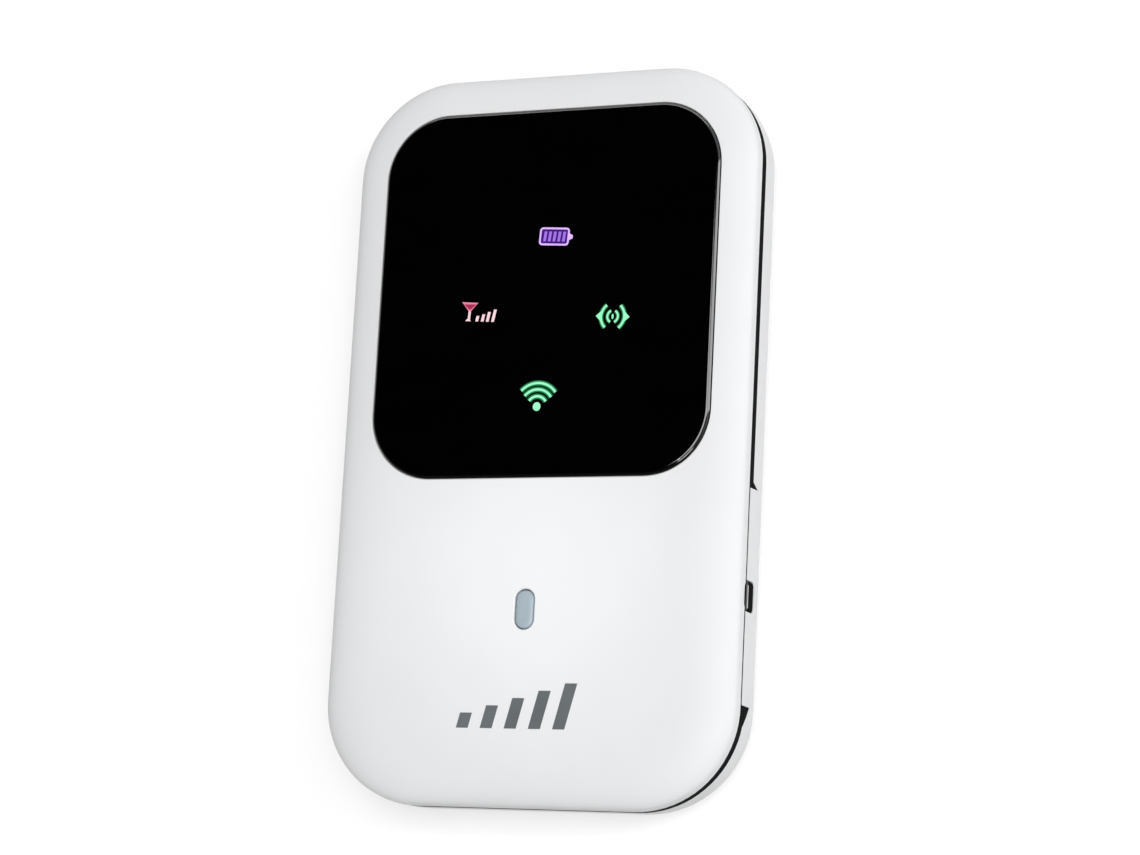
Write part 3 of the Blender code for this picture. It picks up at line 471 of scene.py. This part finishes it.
SHELL_WHITE = moulded("shell_white_satin", (0.84, 0.845, 0.855), 0.42, variation=0.006, specular=0.25)
LENS_BLACK = polished("window_black_polished", (0.0004, 0.0004, 0.0005), 0.04)
# Painted shade: the frame's black plastic, painted darker than frame_black_plastic and with almost no gloss, where it
# shows in the seam, beside the tab and behind the nail notch.
BAND_BLACK_PAINTED_SHADE = moulded("band_black_painted_shade", (0.004, 0.004, 0.0045), 0.7, 0.25 * MM, specular=0.02)
KEY_GREY = moulded("key_grey_satin", (0.36, 0.44, 0.49), 0.4)
MARK_GREY = moulded("mark_grey_ink", (0.125, 0.14, 0.15), 0.5, 0.08 * MM, 0.001 * MM, 0.1)
SLOT_FINISHES = {
    "tape_black": foam("tape_foam", (0.02, 0.02, 0.02), 0.85),
    "shroud_black": moulded("shroud_matte", (0.015, 0.015, 0.016), 0.7),
    "led_cream": moulded("led_resin", (0.8, 0.77, 0.55), 0.3, 0.3 * MM),
    "switch_metal": sheet_metal("switch_steel", (0.6, 0.6, 0.6), 0.32),
    "plunger_dark": moulded("plunger_dark_plastic", (0.05, 0.05, 0.05), 0.5),
    "board_green": circuit_board("board_solder_mask", (0.012, 0.1, 0.05), (0.03, 0.2, 0.1)),
    "shield_steel": sheet_metal("shield_tinned_steel", (0.62, 0.62, 0.6), 0.34),
    "chip_black": moulded("chip_epoxy", (0.03, 0.03, 0.032), 0.5),
    "pad_grey": foam("pad_silicone", (0.3, 0.33, 0.38), 0.8),
    "port_steel": sheet_metal("port_drawn_steel", (0.66, 0.66, 0.65), 0.26, (1.0, 0.06, 1.0)),
    "tongue_black": moulded("tongue_plastic", (0.02, 0.02, 0.02), 0.45),
    "holder_black": moulded("holder_plastic", (0.025, 0.025, 0.025), 0.5),
    "contact_gold": sheet_metal("contact_gold_plate", (0.83, 0.6, 0.24), 0.28, (1.0, 0.1, 1.0)),
    "frame_black": moulded("frame_black_plastic", (0.014, 0.014, 0.015), 0.5, 0.25 * MM),
    "battery_grey": wrapped("battery_film", (0.16, 0.17, 0.18), 0.42),
    "antenna_amber": flexible_circuit("antenna_film", (0.36, 0.17, 0.04), (0.6, 0.34, 0.16)),
    "screw_steel": sheet_metal("screw_black_steel", (0.12, 0.12, 0.12), 0.35),
}
LIT_LAVENDER = lit("symbol_lavender", (0.66, 0.42, 0.95))
LIT_LILAC = lit("symbol_lilac", (0.32, 0.15, 0.7))
LIT_VIOLET = lit("symbol_violet", (0.045, 0.006, 0.17))
LIT_PINK = lit("symbol_pink_white", (0.82, 0.58, 0.62))
LIT_ROSE = lit("symbol_rose", (0.68, 0.2, 0.3))
LIT_RED = lit("symbol_red", (0.36, 0.02, 0.08))
LIT_MINT = lit("symbol_mint", (0.3, 0.86, 0.5))
LIT_GREEN = lit("symbol_green", (0.012, 0.2, 0.07))


# Shells
def build_front_shell():
    """The white front: a pillowed shell with a stepped window pocket, a key slot and screw bosses."""
    rim = list(reversed(arc((0, FRONT_RIM + RIM_ROUND), (RIM_ROUND, FRONT_RIM))))
    pillow_foot = (FRONT_DRAFT, FRONT_RIM + FRONT_SIDE)
    pillow = arc(pillow_foot, (FRONT_PILLOW, FRONT_FACE), FRONT_PILLOW_POWER, PILLOW_STEPS)
    shell = loft("front_shell_fine", BODY, BODY_CORNER, rim + pillow)
    room = [(SHELL_WALL, FRONT_RIM - OVER), (SHELL_WALL, LEDGE_UNDER)]
    room_low = FRONT_LOW.y + KEY_ROOM_INSET
    room_high = LENS_LOW.y - LENS_GAP - SHELL_WALL
    room_size = (BODY[0] - 2 * KEY_ROOM_INSET, room_high - room_low)
    room_place = (0.0, (room_low + room_high) / 2)
    pocket = [(-LENS_GAP, POCKET_FLOOR), (-LENS_GAP, FRONT_FACE - FLARE), (-LENS_GAP - OVER, FRONT_FACE - FLARE + OVER)]
    slot_size = tuple(side - 2 * KEY_FLANGE_LIP + 2 * KEY_GAP for side in (KEY_HIGH - KEY_LOW).xy)
    slot = [(0, CEILING - OVER), (0, FRONT_FACE - KEY_GAP), (-OVER, FRONT_FACE - KEY_GAP + OVER)]
    carve(
        shell, "DIFFERENCE",
        loft("front_room", BODY, BODY_CORNER, room),
        loft("key_room", room_size, BODY_CORNER - KEY_ROOM_INSET, [(0, LEDGE_UNDER - OVER), (0, CEILING)], room_place),
        loft("pocket", LENS, LENS_CORNER, pocket, LENS_PLACE),
        loft("aperture", LENS, LENS_CORNER, [(LEDGE_WIDTH, FRONT_RIM), (LEDGE_WIDTH, LENS_TOP + OVER)], LENS_PLACE),
        loft("slot", slot_size, slot_size[0] / 2, slot, KEY_PLACE),
        nail_notch("front_notch"),
    )
    screws = [frame["nodes"][name].name for name in sorted(frame["nodes"]) if name.startswith("screw_")]
    for screw in screws:
        low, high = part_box(screw)
        place = ((low.x + high.x) / 2, (low.y + high.y) / 2)
        roof = LEDGE_UNDER if place[1] > 0 else CEILING
        carve(shell, "UNION", rod("boss", BOSS_RADIUS, BOSS_FOOT, roof + JOIN_OVER, place))
        carve(shell, "DIFFERENCE",
              rod("boss_hole", BOSS_HOLE_RADIUS, BOSS_FOOT - OVER, BOSS_FOOT + BOSS_HOLE_DEPTH, place))
    dress(shell, SHELL_WHITE, "shell_white", "chassis", "front_shell")


def nail_notch(name):
    """The rounded scoop that a nail goes into, across the seam on the right side."""
    size = (NOTCH_HIGH - NOTCH_LOW, NOTCH_LENGTH)
    tool = loft(name, size, NOTCH_CORNER, [(0, -SHELL_WALL - OVER), (0, OVER)], steps=EDGE_STEPS)
    return turned(tool, 90, "Y", (RIGHT_SIDE, TAB_Y, (NOTCH_LOW + NOTCH_HIGH) / 2))


def port_opening(name):
    """The charging port's hole, flared at the outside."""
    size = (PORT_HIGH.x - PORT_LOW.x + 2 * PORT_HOLE_MARGIN, PORT_HIGH.z - PORT_LOW.z + 2 * PORT_HOLE_MARGIN)
    profile = [(0, -SHELL_WALL - RIM_ROUND), (0, -PORT_HOLE_FLARE), (-OVER, OVER - PORT_HOLE_FLARE)]
    tool = loft(name, size, PORT_HOLE_CORNER, profile, steps=EDGE_STEPS)
    return turned(tool, -90, "X", (0.0, TOP_END, (PORT_LOW.z + PORT_HIGH.z) / 2))


def build_rear_cover():
    """The white rear cover: a round-edged tray with a raised tab, a nail notch and guide ribs."""
    rim = list(reversed(arc((0, REAR_RIM - REAR_RIM_ROUND), (REAR_RIM_ROUND, REAR_RIM))))
    side_end = REAR_RIM - REAR_SIDE
    outer = rim + arc((0, side_end), (REAR_ROUND, COVER_LOW.z), steps=PILLOW_STEPS)
    inner_back = (SHELL_WALL + REAR_ROUND, COVER_LOW.z + SHELL_WALL)
    inner = [(SHELL_WALL, TAB_TOP + OVER), *arc((SHELL_WALL, side_end), inner_back, steps=PILLOW_STEPS)]
    cover = loft("rear_cover_fine", BODY, BODY_CORNER, outer)
    carve(cover, "UNION",
          block("tab", (RIGHT_SIDE - SHELL_WALL - OVER, RIGHT_SIDE - TAB_SETBACK), TAB_ENDS,
                (REAR_RIM - TAB_ROOT, TAB_LIP), RIM_ROUND, TAB_EDGE))
    carve(cover, "DIFFERENCE", loft("cover_room", BODY, BODY_CORNER, inner), nail_notch("cover_notch"),
          port_opening("port_opening"), *tab_wedges(0.0))
    inside = RIGHT_SIDE - SHELL_WALL
    for way in (-1, 1):
        xs = sorted((way * (inside - RIB_DEPTH), way * (inside + JOIN_OVER)))
        for y in RIB_PLACES:
            rib = block("rib", xs, (y - RIB_LENGTH / 2, y + RIB_LENGTH / 2), (RIB_LOW, RIB_HIGH), 0.2 * MM, 0.2 * MM)
            carve(cover, "UNION", rib)
    dress(cover, SHELL_WHITE, "shell_white", "rear_lid", "rear_cover")


def tab_wedges(fit):
    """The two wedges beside the tab, deepest where they meet it, smaller all round by a fit."""
    wedges = []
    for way, end, reach in zip((-1, 1), TAB_ENDS, WEDGE_REACHES):
        near = end + way * fit
        far = end + way * (reach - fit)
        floor = REAR_RIM - WEDGE_DEPTH + fit
        corners = [(near, BAND_HIGH), (near, floor), (far, REAR_RIM + fit), (far, BAND_HIGH)]
        wedge = prism("wedge", corners, RIGHT_SIDE - SHELL_WALL, RIGHT_SIDE + OVER)
        wedge.data.transform(Matrix(((0, 0, 1, 0), (1, 0, 0, 0), (0, 1, 0, 0), (0, 0, 0, 1))))
        wedges.append(wedge)
    return wedges


def build_seam_band():
    """The frame's smooth black edge between the shells, with a wedge down each end of the tab, in the frame's black
    painted darker as the shade in the seam.
    """
    ring = loft("seam_band_fine", BODY, BODY_CORNER, [(BAND_INSET, BAND_LOW), (BAND_INSET, BAND_HIGH)])
    inside = BAND_INSET + BAND_DEPTH
    carve(
        ring, "DIFFERENCE",
        loft("band_room", BODY, BODY_CORNER, [(inside, BAND_LOW - OVER), (inside, BAND_HIGH + OVER)]),
        block("tab_room", (RIGHT_SIDE - OVER, RIGHT_SIDE + OVER), (TAB_ENDS[0] - TAB_ROOM, TAB_ENDS[1] + TAB_ROOM),
              (BAND_LOW - OVER, TAB_LIP + WEDGE_FIT), RIM_ROUND),
    )
    for wedge in tab_wedges(WEDGE_FIT):
        low = REAR_RIM - WEDGE_DEPTH - OVER
        trim = loft("wedge_trim", BODY, BODY_CORNER, [(BAND_INSET, low), (BAND_INSET, BAND_HIGH)])
        carve(wedge, "INTERSECT", trim)
        carve(ring, "UNION", wedge)
    dress(ring, BAND_BLACK_PAINTED_SHADE, "frame_black", "chassis")


def build_notch_lug():
    """The frame's smooth black lug behind the nail notch, painted darker as the notch's shade, and the front shell's
    white catch on top of it.
    """
    face = RIGHT_SIDE - LUG_INSET
    length = NOTCH_LENGTH - 2 * TAB_ROOM
    ys = (TAB_Y - length / 2, TAB_Y + length / 2)
    lug = block("notch_lug_fine", (face - LUG_DEPTH, face), ys, (LUG_LOW, LUG_HIGH), RIM_ROUND, LUG_EDGE)
    dress(lug, BAND_BLACK_PAINTED_SHADE, "frame_black", "chassis")
    catch = block("notch_catch_fine", (face - LUG_DEPTH, RIGHT_SIDE - CATCH_INSET),
                  (ys[0] + CATCH_END_ROOM, ys[1] - CATCH_END_ROOM),
                  (LUG_HIGH - CATCH_EDGE, CATCH_HIGH), RIM_ROUND, CATCH_EDGE)
    dress(catch, SHELL_WHITE, "shell_white", "chassis")


# Window and key
def build_lens():
    """The black window with a bowed edge above the shell, a hair lower than the ink on it."""
    top = LENS_TOP - 2 * PRINT_LAYER
    profile = [(0, LENS_LOW.z), *bow((0, FRONT_FACE), (LENS_BOW, top))]
    lens = loft("display_lens_fine", LENS, LENS_CORNER, profile, LENS_PLACE)
    dress(lens, LENS_BLACK, "lens_black", "chassis", "display_lens")
    return lens


def build_key():
    """The capsule key, crowned, on its retaining flange."""
    size = tuple(side - 2 * KEY_FLANGE_LIP for side in (KEY_HIGH - KEY_LOW).xy)
    flange = [(-KEY_FLANGE_LIP, KEY_LOW.z), (-KEY_FLANGE_LIP, KEY_FLANGE_TOP)]
    cap = [(0, KEY_FLANGE_TOP), *arc((0, KEY_HIGH.z - KEY_SHOULDER), (KEY_CROWN, KEY_HIGH.z), 3.0, PILLOW_STEPS)]
    key = loft("power_key_fine", size, size[0] / 2, flange + cap, KEY_PLACE)
    dress(key, KEY_GREY, "key_grey", "power_button", "power_key")


# Symbols
def arc_path(middle, radius, start, end, steps=16):
    """Points along a circle between two angles in degrees."""
    angles = [math.radians(start + (end - start) * step / steps) for step in range(steps + 1)]
    return [(middle[0] + radius * math.cos(angle), middle[1] + radius * math.sin(angle)) for angle in angles]


def slanted_bar(x, low, high, width, slant):
    """Corners of an upright bar that leans to the right."""
    lean = slant * (high - low)
    return [(x - width / 2, low), (x + width / 2, low), (x + width / 2 + lean, high), (x - width / 2 + lean, high)]


def band(path, width, closed=False):
    """Four-cornered patches that follow a path with an even width."""
    points = [Vector(point) for point in path]
    edges = []
    for index, point in enumerate(points):
        before = points[index - 1] if index or closed else point
        after = points[(index + 1) % len(points)] if index + 1 < len(points) or closed else point
        along = (after - before).normalized()
        first = (point - before).normalized() if point != before else along
        reach = width / 2 / max(abs(first.dot(along)), 0.5)
        side = Vector((-along.y, along.x)) * reach
        edges.append((point + side, point - side))
    pairs = list(zip(edges, edges[1:]))
    if closed:
        pairs.append((edges[-1], edges[0]))
    return [[left, right, next_right, next_left] for (left, right), (next_left, next_right) in pairs]


def printed(name, patches, place, low, high, unit, material, slot):
    """Thin raised ink made of flat patches, given in a unit around a place."""
    placed = [[(place[0] + unit * x, place[1] + unit * y) for x, y in patch] for patch in patches]
    ink = slab(name, placed, low, high)
    dress(ink, material, slot, "chassis")


def light_place(node):
    low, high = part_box(node)
    return Vector(((low.x + high.x) / 2, (low.y + high.y) / 2))


def symbol(name, node, patches, material, layer=2):
    """One lit symbol on the window, above its light, in a print that is turned a little on the window."""
    turn = Matrix.Rotation(SYMBOL_TURN, 2)
    middle = (light_place("battery_led") + light_place("wireless_led")) / 2
    place = middle + turn @ (light_place(node) - middle)
    print_patches = [[turn @ Vector(corner) for corner in patch] for patch in patches]
    low = LENS_TOP - 2 * PRINT_LAYER
    printed(name, print_patches, place, low, low + layer * PRINT_LAYER, MM, material, "led_cream")


def build_battery_symbol():
    """A battery outline with five bars on a violet ground, in millimetres around its light."""
    case = outline(4.05, 2.22, 0.35, 4)
    tip = [(2.1, -0.5), (2.65, -0.2), (2.65, 0.2), (2.1, 0.5)]
    bars = [slanted_bar(-1.36 + 0.68 * number, -0.68, 0.68, 0.38, 0.06) for number in range(5)]
    symbol("battery_symbol_ground", "battery_led", [case], LIT_VIOLET, 1)
    symbol("battery_symbol_bars", "battery_led", bars, LIT_LILAC)
    symbol("battery_symbol", "battery_led", [*band(case, 0.25, True), tip], LIT_LAVENDER)


def build_signal_symbol():
    """An aerial beside four rising bars, in millimetres around its light."""
    horn = [(-2.6, 1.4), (-0.5, 1.4), (-1.5, 0.3)]
    mast = slanted_bar(-1.5, -1.05, 0.45, 0.34, 0.0)
    foot = [(-2.0, -1.05), (-1.2, -1.05), (-1.5, -0.5)]
    bars = [slanted_bar(x, -1.05, height - 1.05, 0.4, 0.14)
            for x, height in ((-0.32, 0.75), (0.48, 1.0), (1.22, 1.35), (2.0, 1.7))]
    symbol("signal_symbol_ground", "signal_led", [horn], LIT_RED, 1)
    symbol("signal_symbol_horn", "signal_led", band(horn, 0.22, True), LIT_ROSE)
    symbol("signal_symbol", "signal_led", [mast, foot, *bars], LIT_PINK)


def build_data_symbol():
    """Waves that leave a spot to both sides and end in arrow tips, in millimetres around its light."""
    waves = []
    grounds = []
    for way in (-1, 1):
        facing = 90 - 90 * way
        outer = arc_path((-0.35 * way, 0.15), 2.0, facing - 49, facing + 49)
        inner = arc_path((-0.1 * way, 0.15), 0.85, facing - 62, facing + 62)
        tip = [(1.6 * way, -0.6), (2.4 * way, 0.15), (1.6 * way, 0.9)]
        waves += [*band(outer, 0.3), *band(inner, 0.25), tip]
        grounds += [*band(outer, 0.62), *band(inner, 0.5)]
    spot = [(0.14 * math.cos(turn), 0.15 + 0.36 * math.sin(turn)) for turn in TWELVE_TURNS]
    symbol("data_symbol_ground", "data_led", grounds, LIT_GREEN, 1)
    symbol("data_symbol", "data_led", [*waves, spot], LIT_MINT)


def build_wireless_symbol():
    """Three arcs over a spot, in millimetres around its light."""
    source = (0.2, -1.48)
    arcs = [arc_path(source, radius, start, 180 - start) for radius, start in ((1.4, 32), (2.33, 36), (3.2, 40))]
    spot = [(source[0] + 0.55 * math.cos(turn), source[1] + 0.6 * math.sin(turn)) for turn in TWELVE_TURNS]
    symbol("wireless_symbol_ground", "wireless_led", [patch for path in arcs for patch in band(path, 0.68)], LIT_GREEN, 1)
    symbol("wireless_symbol", "wireless_led", [*(patch for path in arcs for patch in band(path, 0.3)), spot], LIT_MINT)


def build_mark():
    """A plain row of rising bars printed on the lower front."""
    bars = []
    for number in range(MARK_BARS):
        x = (number - (MARK_BARS - 1) / 2) * MARK_PITCH
        height = MARK_LOWEST + (MARK_HIGHEST - MARK_LOWEST) * number / (MARK_BARS - 1)
        bars.append(slanted_bar(x, -MARK_HIGHEST / 2, height - MARK_HIGHEST / 2, MARK_BAR_WIDTH, MARK_SLANT))
    printed("front_mark", bars, MARK_MIDDLE, FRONT_FACE, FRONT_FACE + PRINT_LAYER, 1.0, MARK_GREY, "key_grey")


# Finishes of the solids that keep their own shape
def finish_nodes():
    """Give every node that keeps its shape the finish of its slot."""
    for part in frame["record"]["subparts"]:
        finish = SLOT_FINISHES.get(part["material_slot"])
        if finish:
            mesh = frame["nodes"][part["node"]].data
            mesh.materials.clear()
            mesh.materials.append(finish)


# Stage, light and camera
FLOOR_SIZE = 6.0
FLOOR_GLOW_NEAR = 0.42
FLOOR_GLOW_FAR = 0.9
FLOOR_NEAR = 0.2
FLOOR_FAR = 1.2
CAMERA_LENS = 91.87
CAMERA_PLACE = Vector((144.66, -71.58, 364.17)) * MM
CAMERA_AIM = Vector((4.87, 0.19, 14.0)) * MM
CAMERA_UP = Vector((0.0204, 0.981, 0.1929))
LAMP_AIM = Vector((0.0, 0.0, 0.01))
POOL_AIM = Vector((0.0, -18 * MM, FRONT_FACE))
POOL_RADIUS = 0.012
WORLD_LOW = (0.9, 0.92, 0.95)
WORLD_HIGH = (0.004, 0.004, 0.004)
WORLD_FILL = 0.27
WORLD_BRIGHT_SIDE = Vector((0.64, 0.77, 0.0))
WORLD_DIM_SIDE = 0.06


def seen_rays(tree):
    """One for camera, glossy and transmission rays, and zero for the light that falls on things."""
    path = tree.nodes.new("ShaderNodeLightPath")
    total = path.outputs["Is Camera Ray"]
    for ray in ("Is Glossy Ray", "Is Transmission Ray"):
        add = tree.nodes.new("ShaderNodeMath")
        add.operation = "MAXIMUM"
        tree.links.new(total, add.inputs[0])
        tree.links.new(path.outputs[ray], add.inputs[1])
        total = add.outputs["Value"]
    return total


def build_floor():
    """A pale floor that glows a little more with distance, so it reads as white where no shadow falls."""
    shape = bmesh.new()
    bmesh.ops.create_grid(shape, x_segments=4, y_segments=4, size=FLOOR_SIZE / 2)
    floor = to_object("floor", shape)
    material, tree, shader = start_material("floor_white", 0.9)
    shader.inputs["Specular IOR Level"].default_value = 0.0
    shader.inputs["Emission Color"].default_value = (1.0, 1.0, 1.0, 1.0)
    vary_colour(tree, shader, grain(tree, 80 * MM), (0.69, 0.69, 0.69), (0.71, 0.71, 0.71))
    place = tree.nodes.new("ShaderNodeTexCoord")
    distance = tree.nodes.new("ShaderNodeVectorMath")
    distance.operation = "LENGTH"
    spread = tree.nodes.new("ShaderNodeMapRange")
    spread.inputs["From Min"].default_value = FLOOR_NEAR
    spread.inputs["From Max"].default_value = FLOOR_FAR
    spread.inputs["To Min"].default_value = FLOOR_GLOW_NEAR
    spread.inputs["To Max"].default_value = FLOOR_GLOW_FAR
    glow = tree.nodes.new("ShaderNodeMath")
    glow.operation = "MULTIPLY"
    tree.links.new(place.outputs["Object"], distance.inputs[0])
    tree.links.new(distance.outputs["Value"], spread.inputs["Value"])
    tree.links.new(seen_rays(tree), glow.inputs[0])
    tree.links.new(spread.outputs["Result"], glow.inputs[1])
    tree.links.new(glow.outputs["Value"], shader.inputs["Emission Strength"])
    floor.data.materials.append(material)


def build_world():
    """White to the camera, an even soft fill, and in gloss a pale wall on one side under a dark ceiling."""
    world = bpy.data.worlds.new("studio")
    bpy.context.scene.world = world
    world.use_nodes = True
    tree = world.node_tree
    place = tree.nodes.new("ShaderNodeTexCoord")
    split = tree.nodes.new("ShaderNodeSeparateXYZ")
    ramp = tree.nodes.new("ShaderNodeValToRGB")
    ramp.color_ramp.elements[0].position = 0.45
    ramp.color_ramp.elements[0].color = (*WORLD_LOW, 1.0)
    ramp.color_ramp.elements[1].position = 0.75
    ramp.color_ramp.elements[1].color = (*WORLD_HIGH, 1.0)
    side = tree.nodes.new("ShaderNodeVectorMath")
    side.operation = "DOT_PRODUCT"
    side.inputs[1].default_value = WORLD_BRIGHT_SIDE
    wall = tree.nodes.new("ShaderNodeMapRange")
    wall.inputs["From Min"].default_value = -0.2
    wall.inputs["From Max"].default_value = 0.7
    wall.inputs["To Min"].default_value = WORLD_DIM_SIDE
    wall.inputs["To Max"].default_value = 1.0
    room = tree.nodes["Background"]
    fill = tree.nodes.new("ShaderNodeBackground")
    fill.inputs["Color"].default_value = (1.0, 1.0, 1.0, 1.0)
    fill.inputs["Strength"].default_value = WORLD_FILL
    backdrop = tree.nodes.new("ShaderNodeBackground")
    backdrop.inputs["Color"].default_value = (1.0, 1.0, 1.0, 1.0)
    path = tree.nodes.new("ShaderNodeLightPath")
    lit_or_seen = tree.nodes.new("ShaderNodeMixShader")
    camera_or_other = tree.nodes.new("ShaderNodeMixShader")
    tree.links.new(place.outputs["Generated"], split.inputs["Vector"])
    tree.links.new(split.outputs["Z"], ramp.inputs["Fac"])
    tree.links.new(ramp.outputs["Color"], room.inputs["Color"])
    tree.links.new(place.outputs["Generated"], side.inputs[0])
    tree.links.new(side.outputs["Value"], wall.inputs["Value"])
    tree.links.new(wall.outputs["Result"], room.inputs["Strength"])
    tree.links.new(seen_rays(tree), lit_or_seen.inputs["Fac"])
    tree.links.new(fill.outputs["Background"], lit_or_seen.inputs[1])
    tree.links.new(room.outputs["Background"], lit_or_seen.inputs[2])
    tree.links.new(path.outputs["Is Camera Ray"], camera_or_other.inputs["Fac"])
    tree.links.new(lit_or_seen.outputs["Shader"], camera_or_other.inputs[1])
    tree.links.new(backdrop.outputs["Background"], camera_or_other.inputs[2])
    tree.links.new(camera_or_other.outputs["Shader"], tree.nodes["World Output"].inputs["Surface"])


def softbox(name, direction, distance, size, radiance, seen_in=None):
    """A square-cornered area lamp of a given brightness, facing the object, or seen in one piece's gloss only."""
    lamp = bpy.data.lights.new(name, "AREA")
    lamp.shape = "RECTANGLE"
    lamp.size, lamp.size_y = size
    lamp.energy = radiance * math.pi * size[0] * size[1]
    holder = hang(lamp, direction, distance, LAMP_AIM)
    if seen_in:
        holder.visible_diffuse = False
        holder.light_linking.receiver_collection = bpy.data.collections.new(name + "_piece")
        holder.light_linking.receiver_collection.objects.link(seen_in)


def pool(name, direction, distance, aim, reach, brightness):
    """A spot lamp with a soft edge, which lights a round patch more at its middle than at its rim."""
    lamp = bpy.data.lights.new(name, "SPOT")
    lamp.energy = brightness * 4 * math.pi ** 2 * distance ** 2
    lamp.spot_size = 2 * math.atan(reach / distance)
    lamp.spot_blend = 1.0
    lamp.shadow_soft_size = POOL_RADIUS
    hang(lamp, direction, distance, aim)


def hang(lamp, direction, distance, aim):
    """Put a lamp at a distance from a point, facing it."""
    holder = bpy.data.objects.new(lamp.name, lamp)
    holder.location = aim + Vector(direction).normalized() * distance
    holder.rotation_mode = "QUATERNION"
    holder.rotation_quaternion = (aim - holder.location).to_track_quat("-Z", "Y")
    bpy.context.scene.collection.objects.link(holder)
    return holder


def build_lights(window):
    softbox("key_light", (0.26, -0.06, 0.963), 0.76, (0.5, 0.5), 4.85)
    softbox("right_panel", (0.853, 0.228, 0.47), 0.7, (0.18, 0.7), 3.6)
    softbox("end_strip", (-0.08, 0.91, 0.41), 0.8, (0.9, 0.05), 8.0, window)
    softbox("corner_strip", (0.5, -0.68, 0.54), 0.8, (0.3, 0.08), 12.0, window)
    pool("front_pool", (0.1, -0.35, 0.93), 0.6, POOL_AIM, 0.026, 0.16)


def build_camera():
    """The camera at the photograph's viewing angle."""
    lens = bpy.data.cameras.new("camera")
    lens.sensor_fit = "HORIZONTAL"
    lens.sensor_width = 36.0
    lens.lens = CAMERA_LENS
    lens.clip_start = 0.01
    lens.clip_end = 20.0
    camera = bpy.data.objects.new("camera", lens)
    back = (CAMERA_PLACE - CAMERA_AIM).normalized()
    right = CAMERA_UP.cross(back).normalized()
    turn = Matrix((right, back.cross(right), back)).transposed()
    camera.matrix_world = Matrix.Translation(CAMERA_PLACE) @ turn.to_4x4()
    bpy.context.scene.collection.objects.link(camera)
    bpy.context.scene.camera = camera


build_front_shell()
build_rear_cover()
build_seam_band()
build_notch_lug()
window = build_lens()
build_key()
build_battery_symbol()
build_signal_symbol()
build_data_symbol()
build_wireless_symbol()
build_mark()
finish_nodes()
build_floor()
build_world()
build_lights(window)
build_camera()
bpy.context.scene.view_settings.view_transform = "Standard"
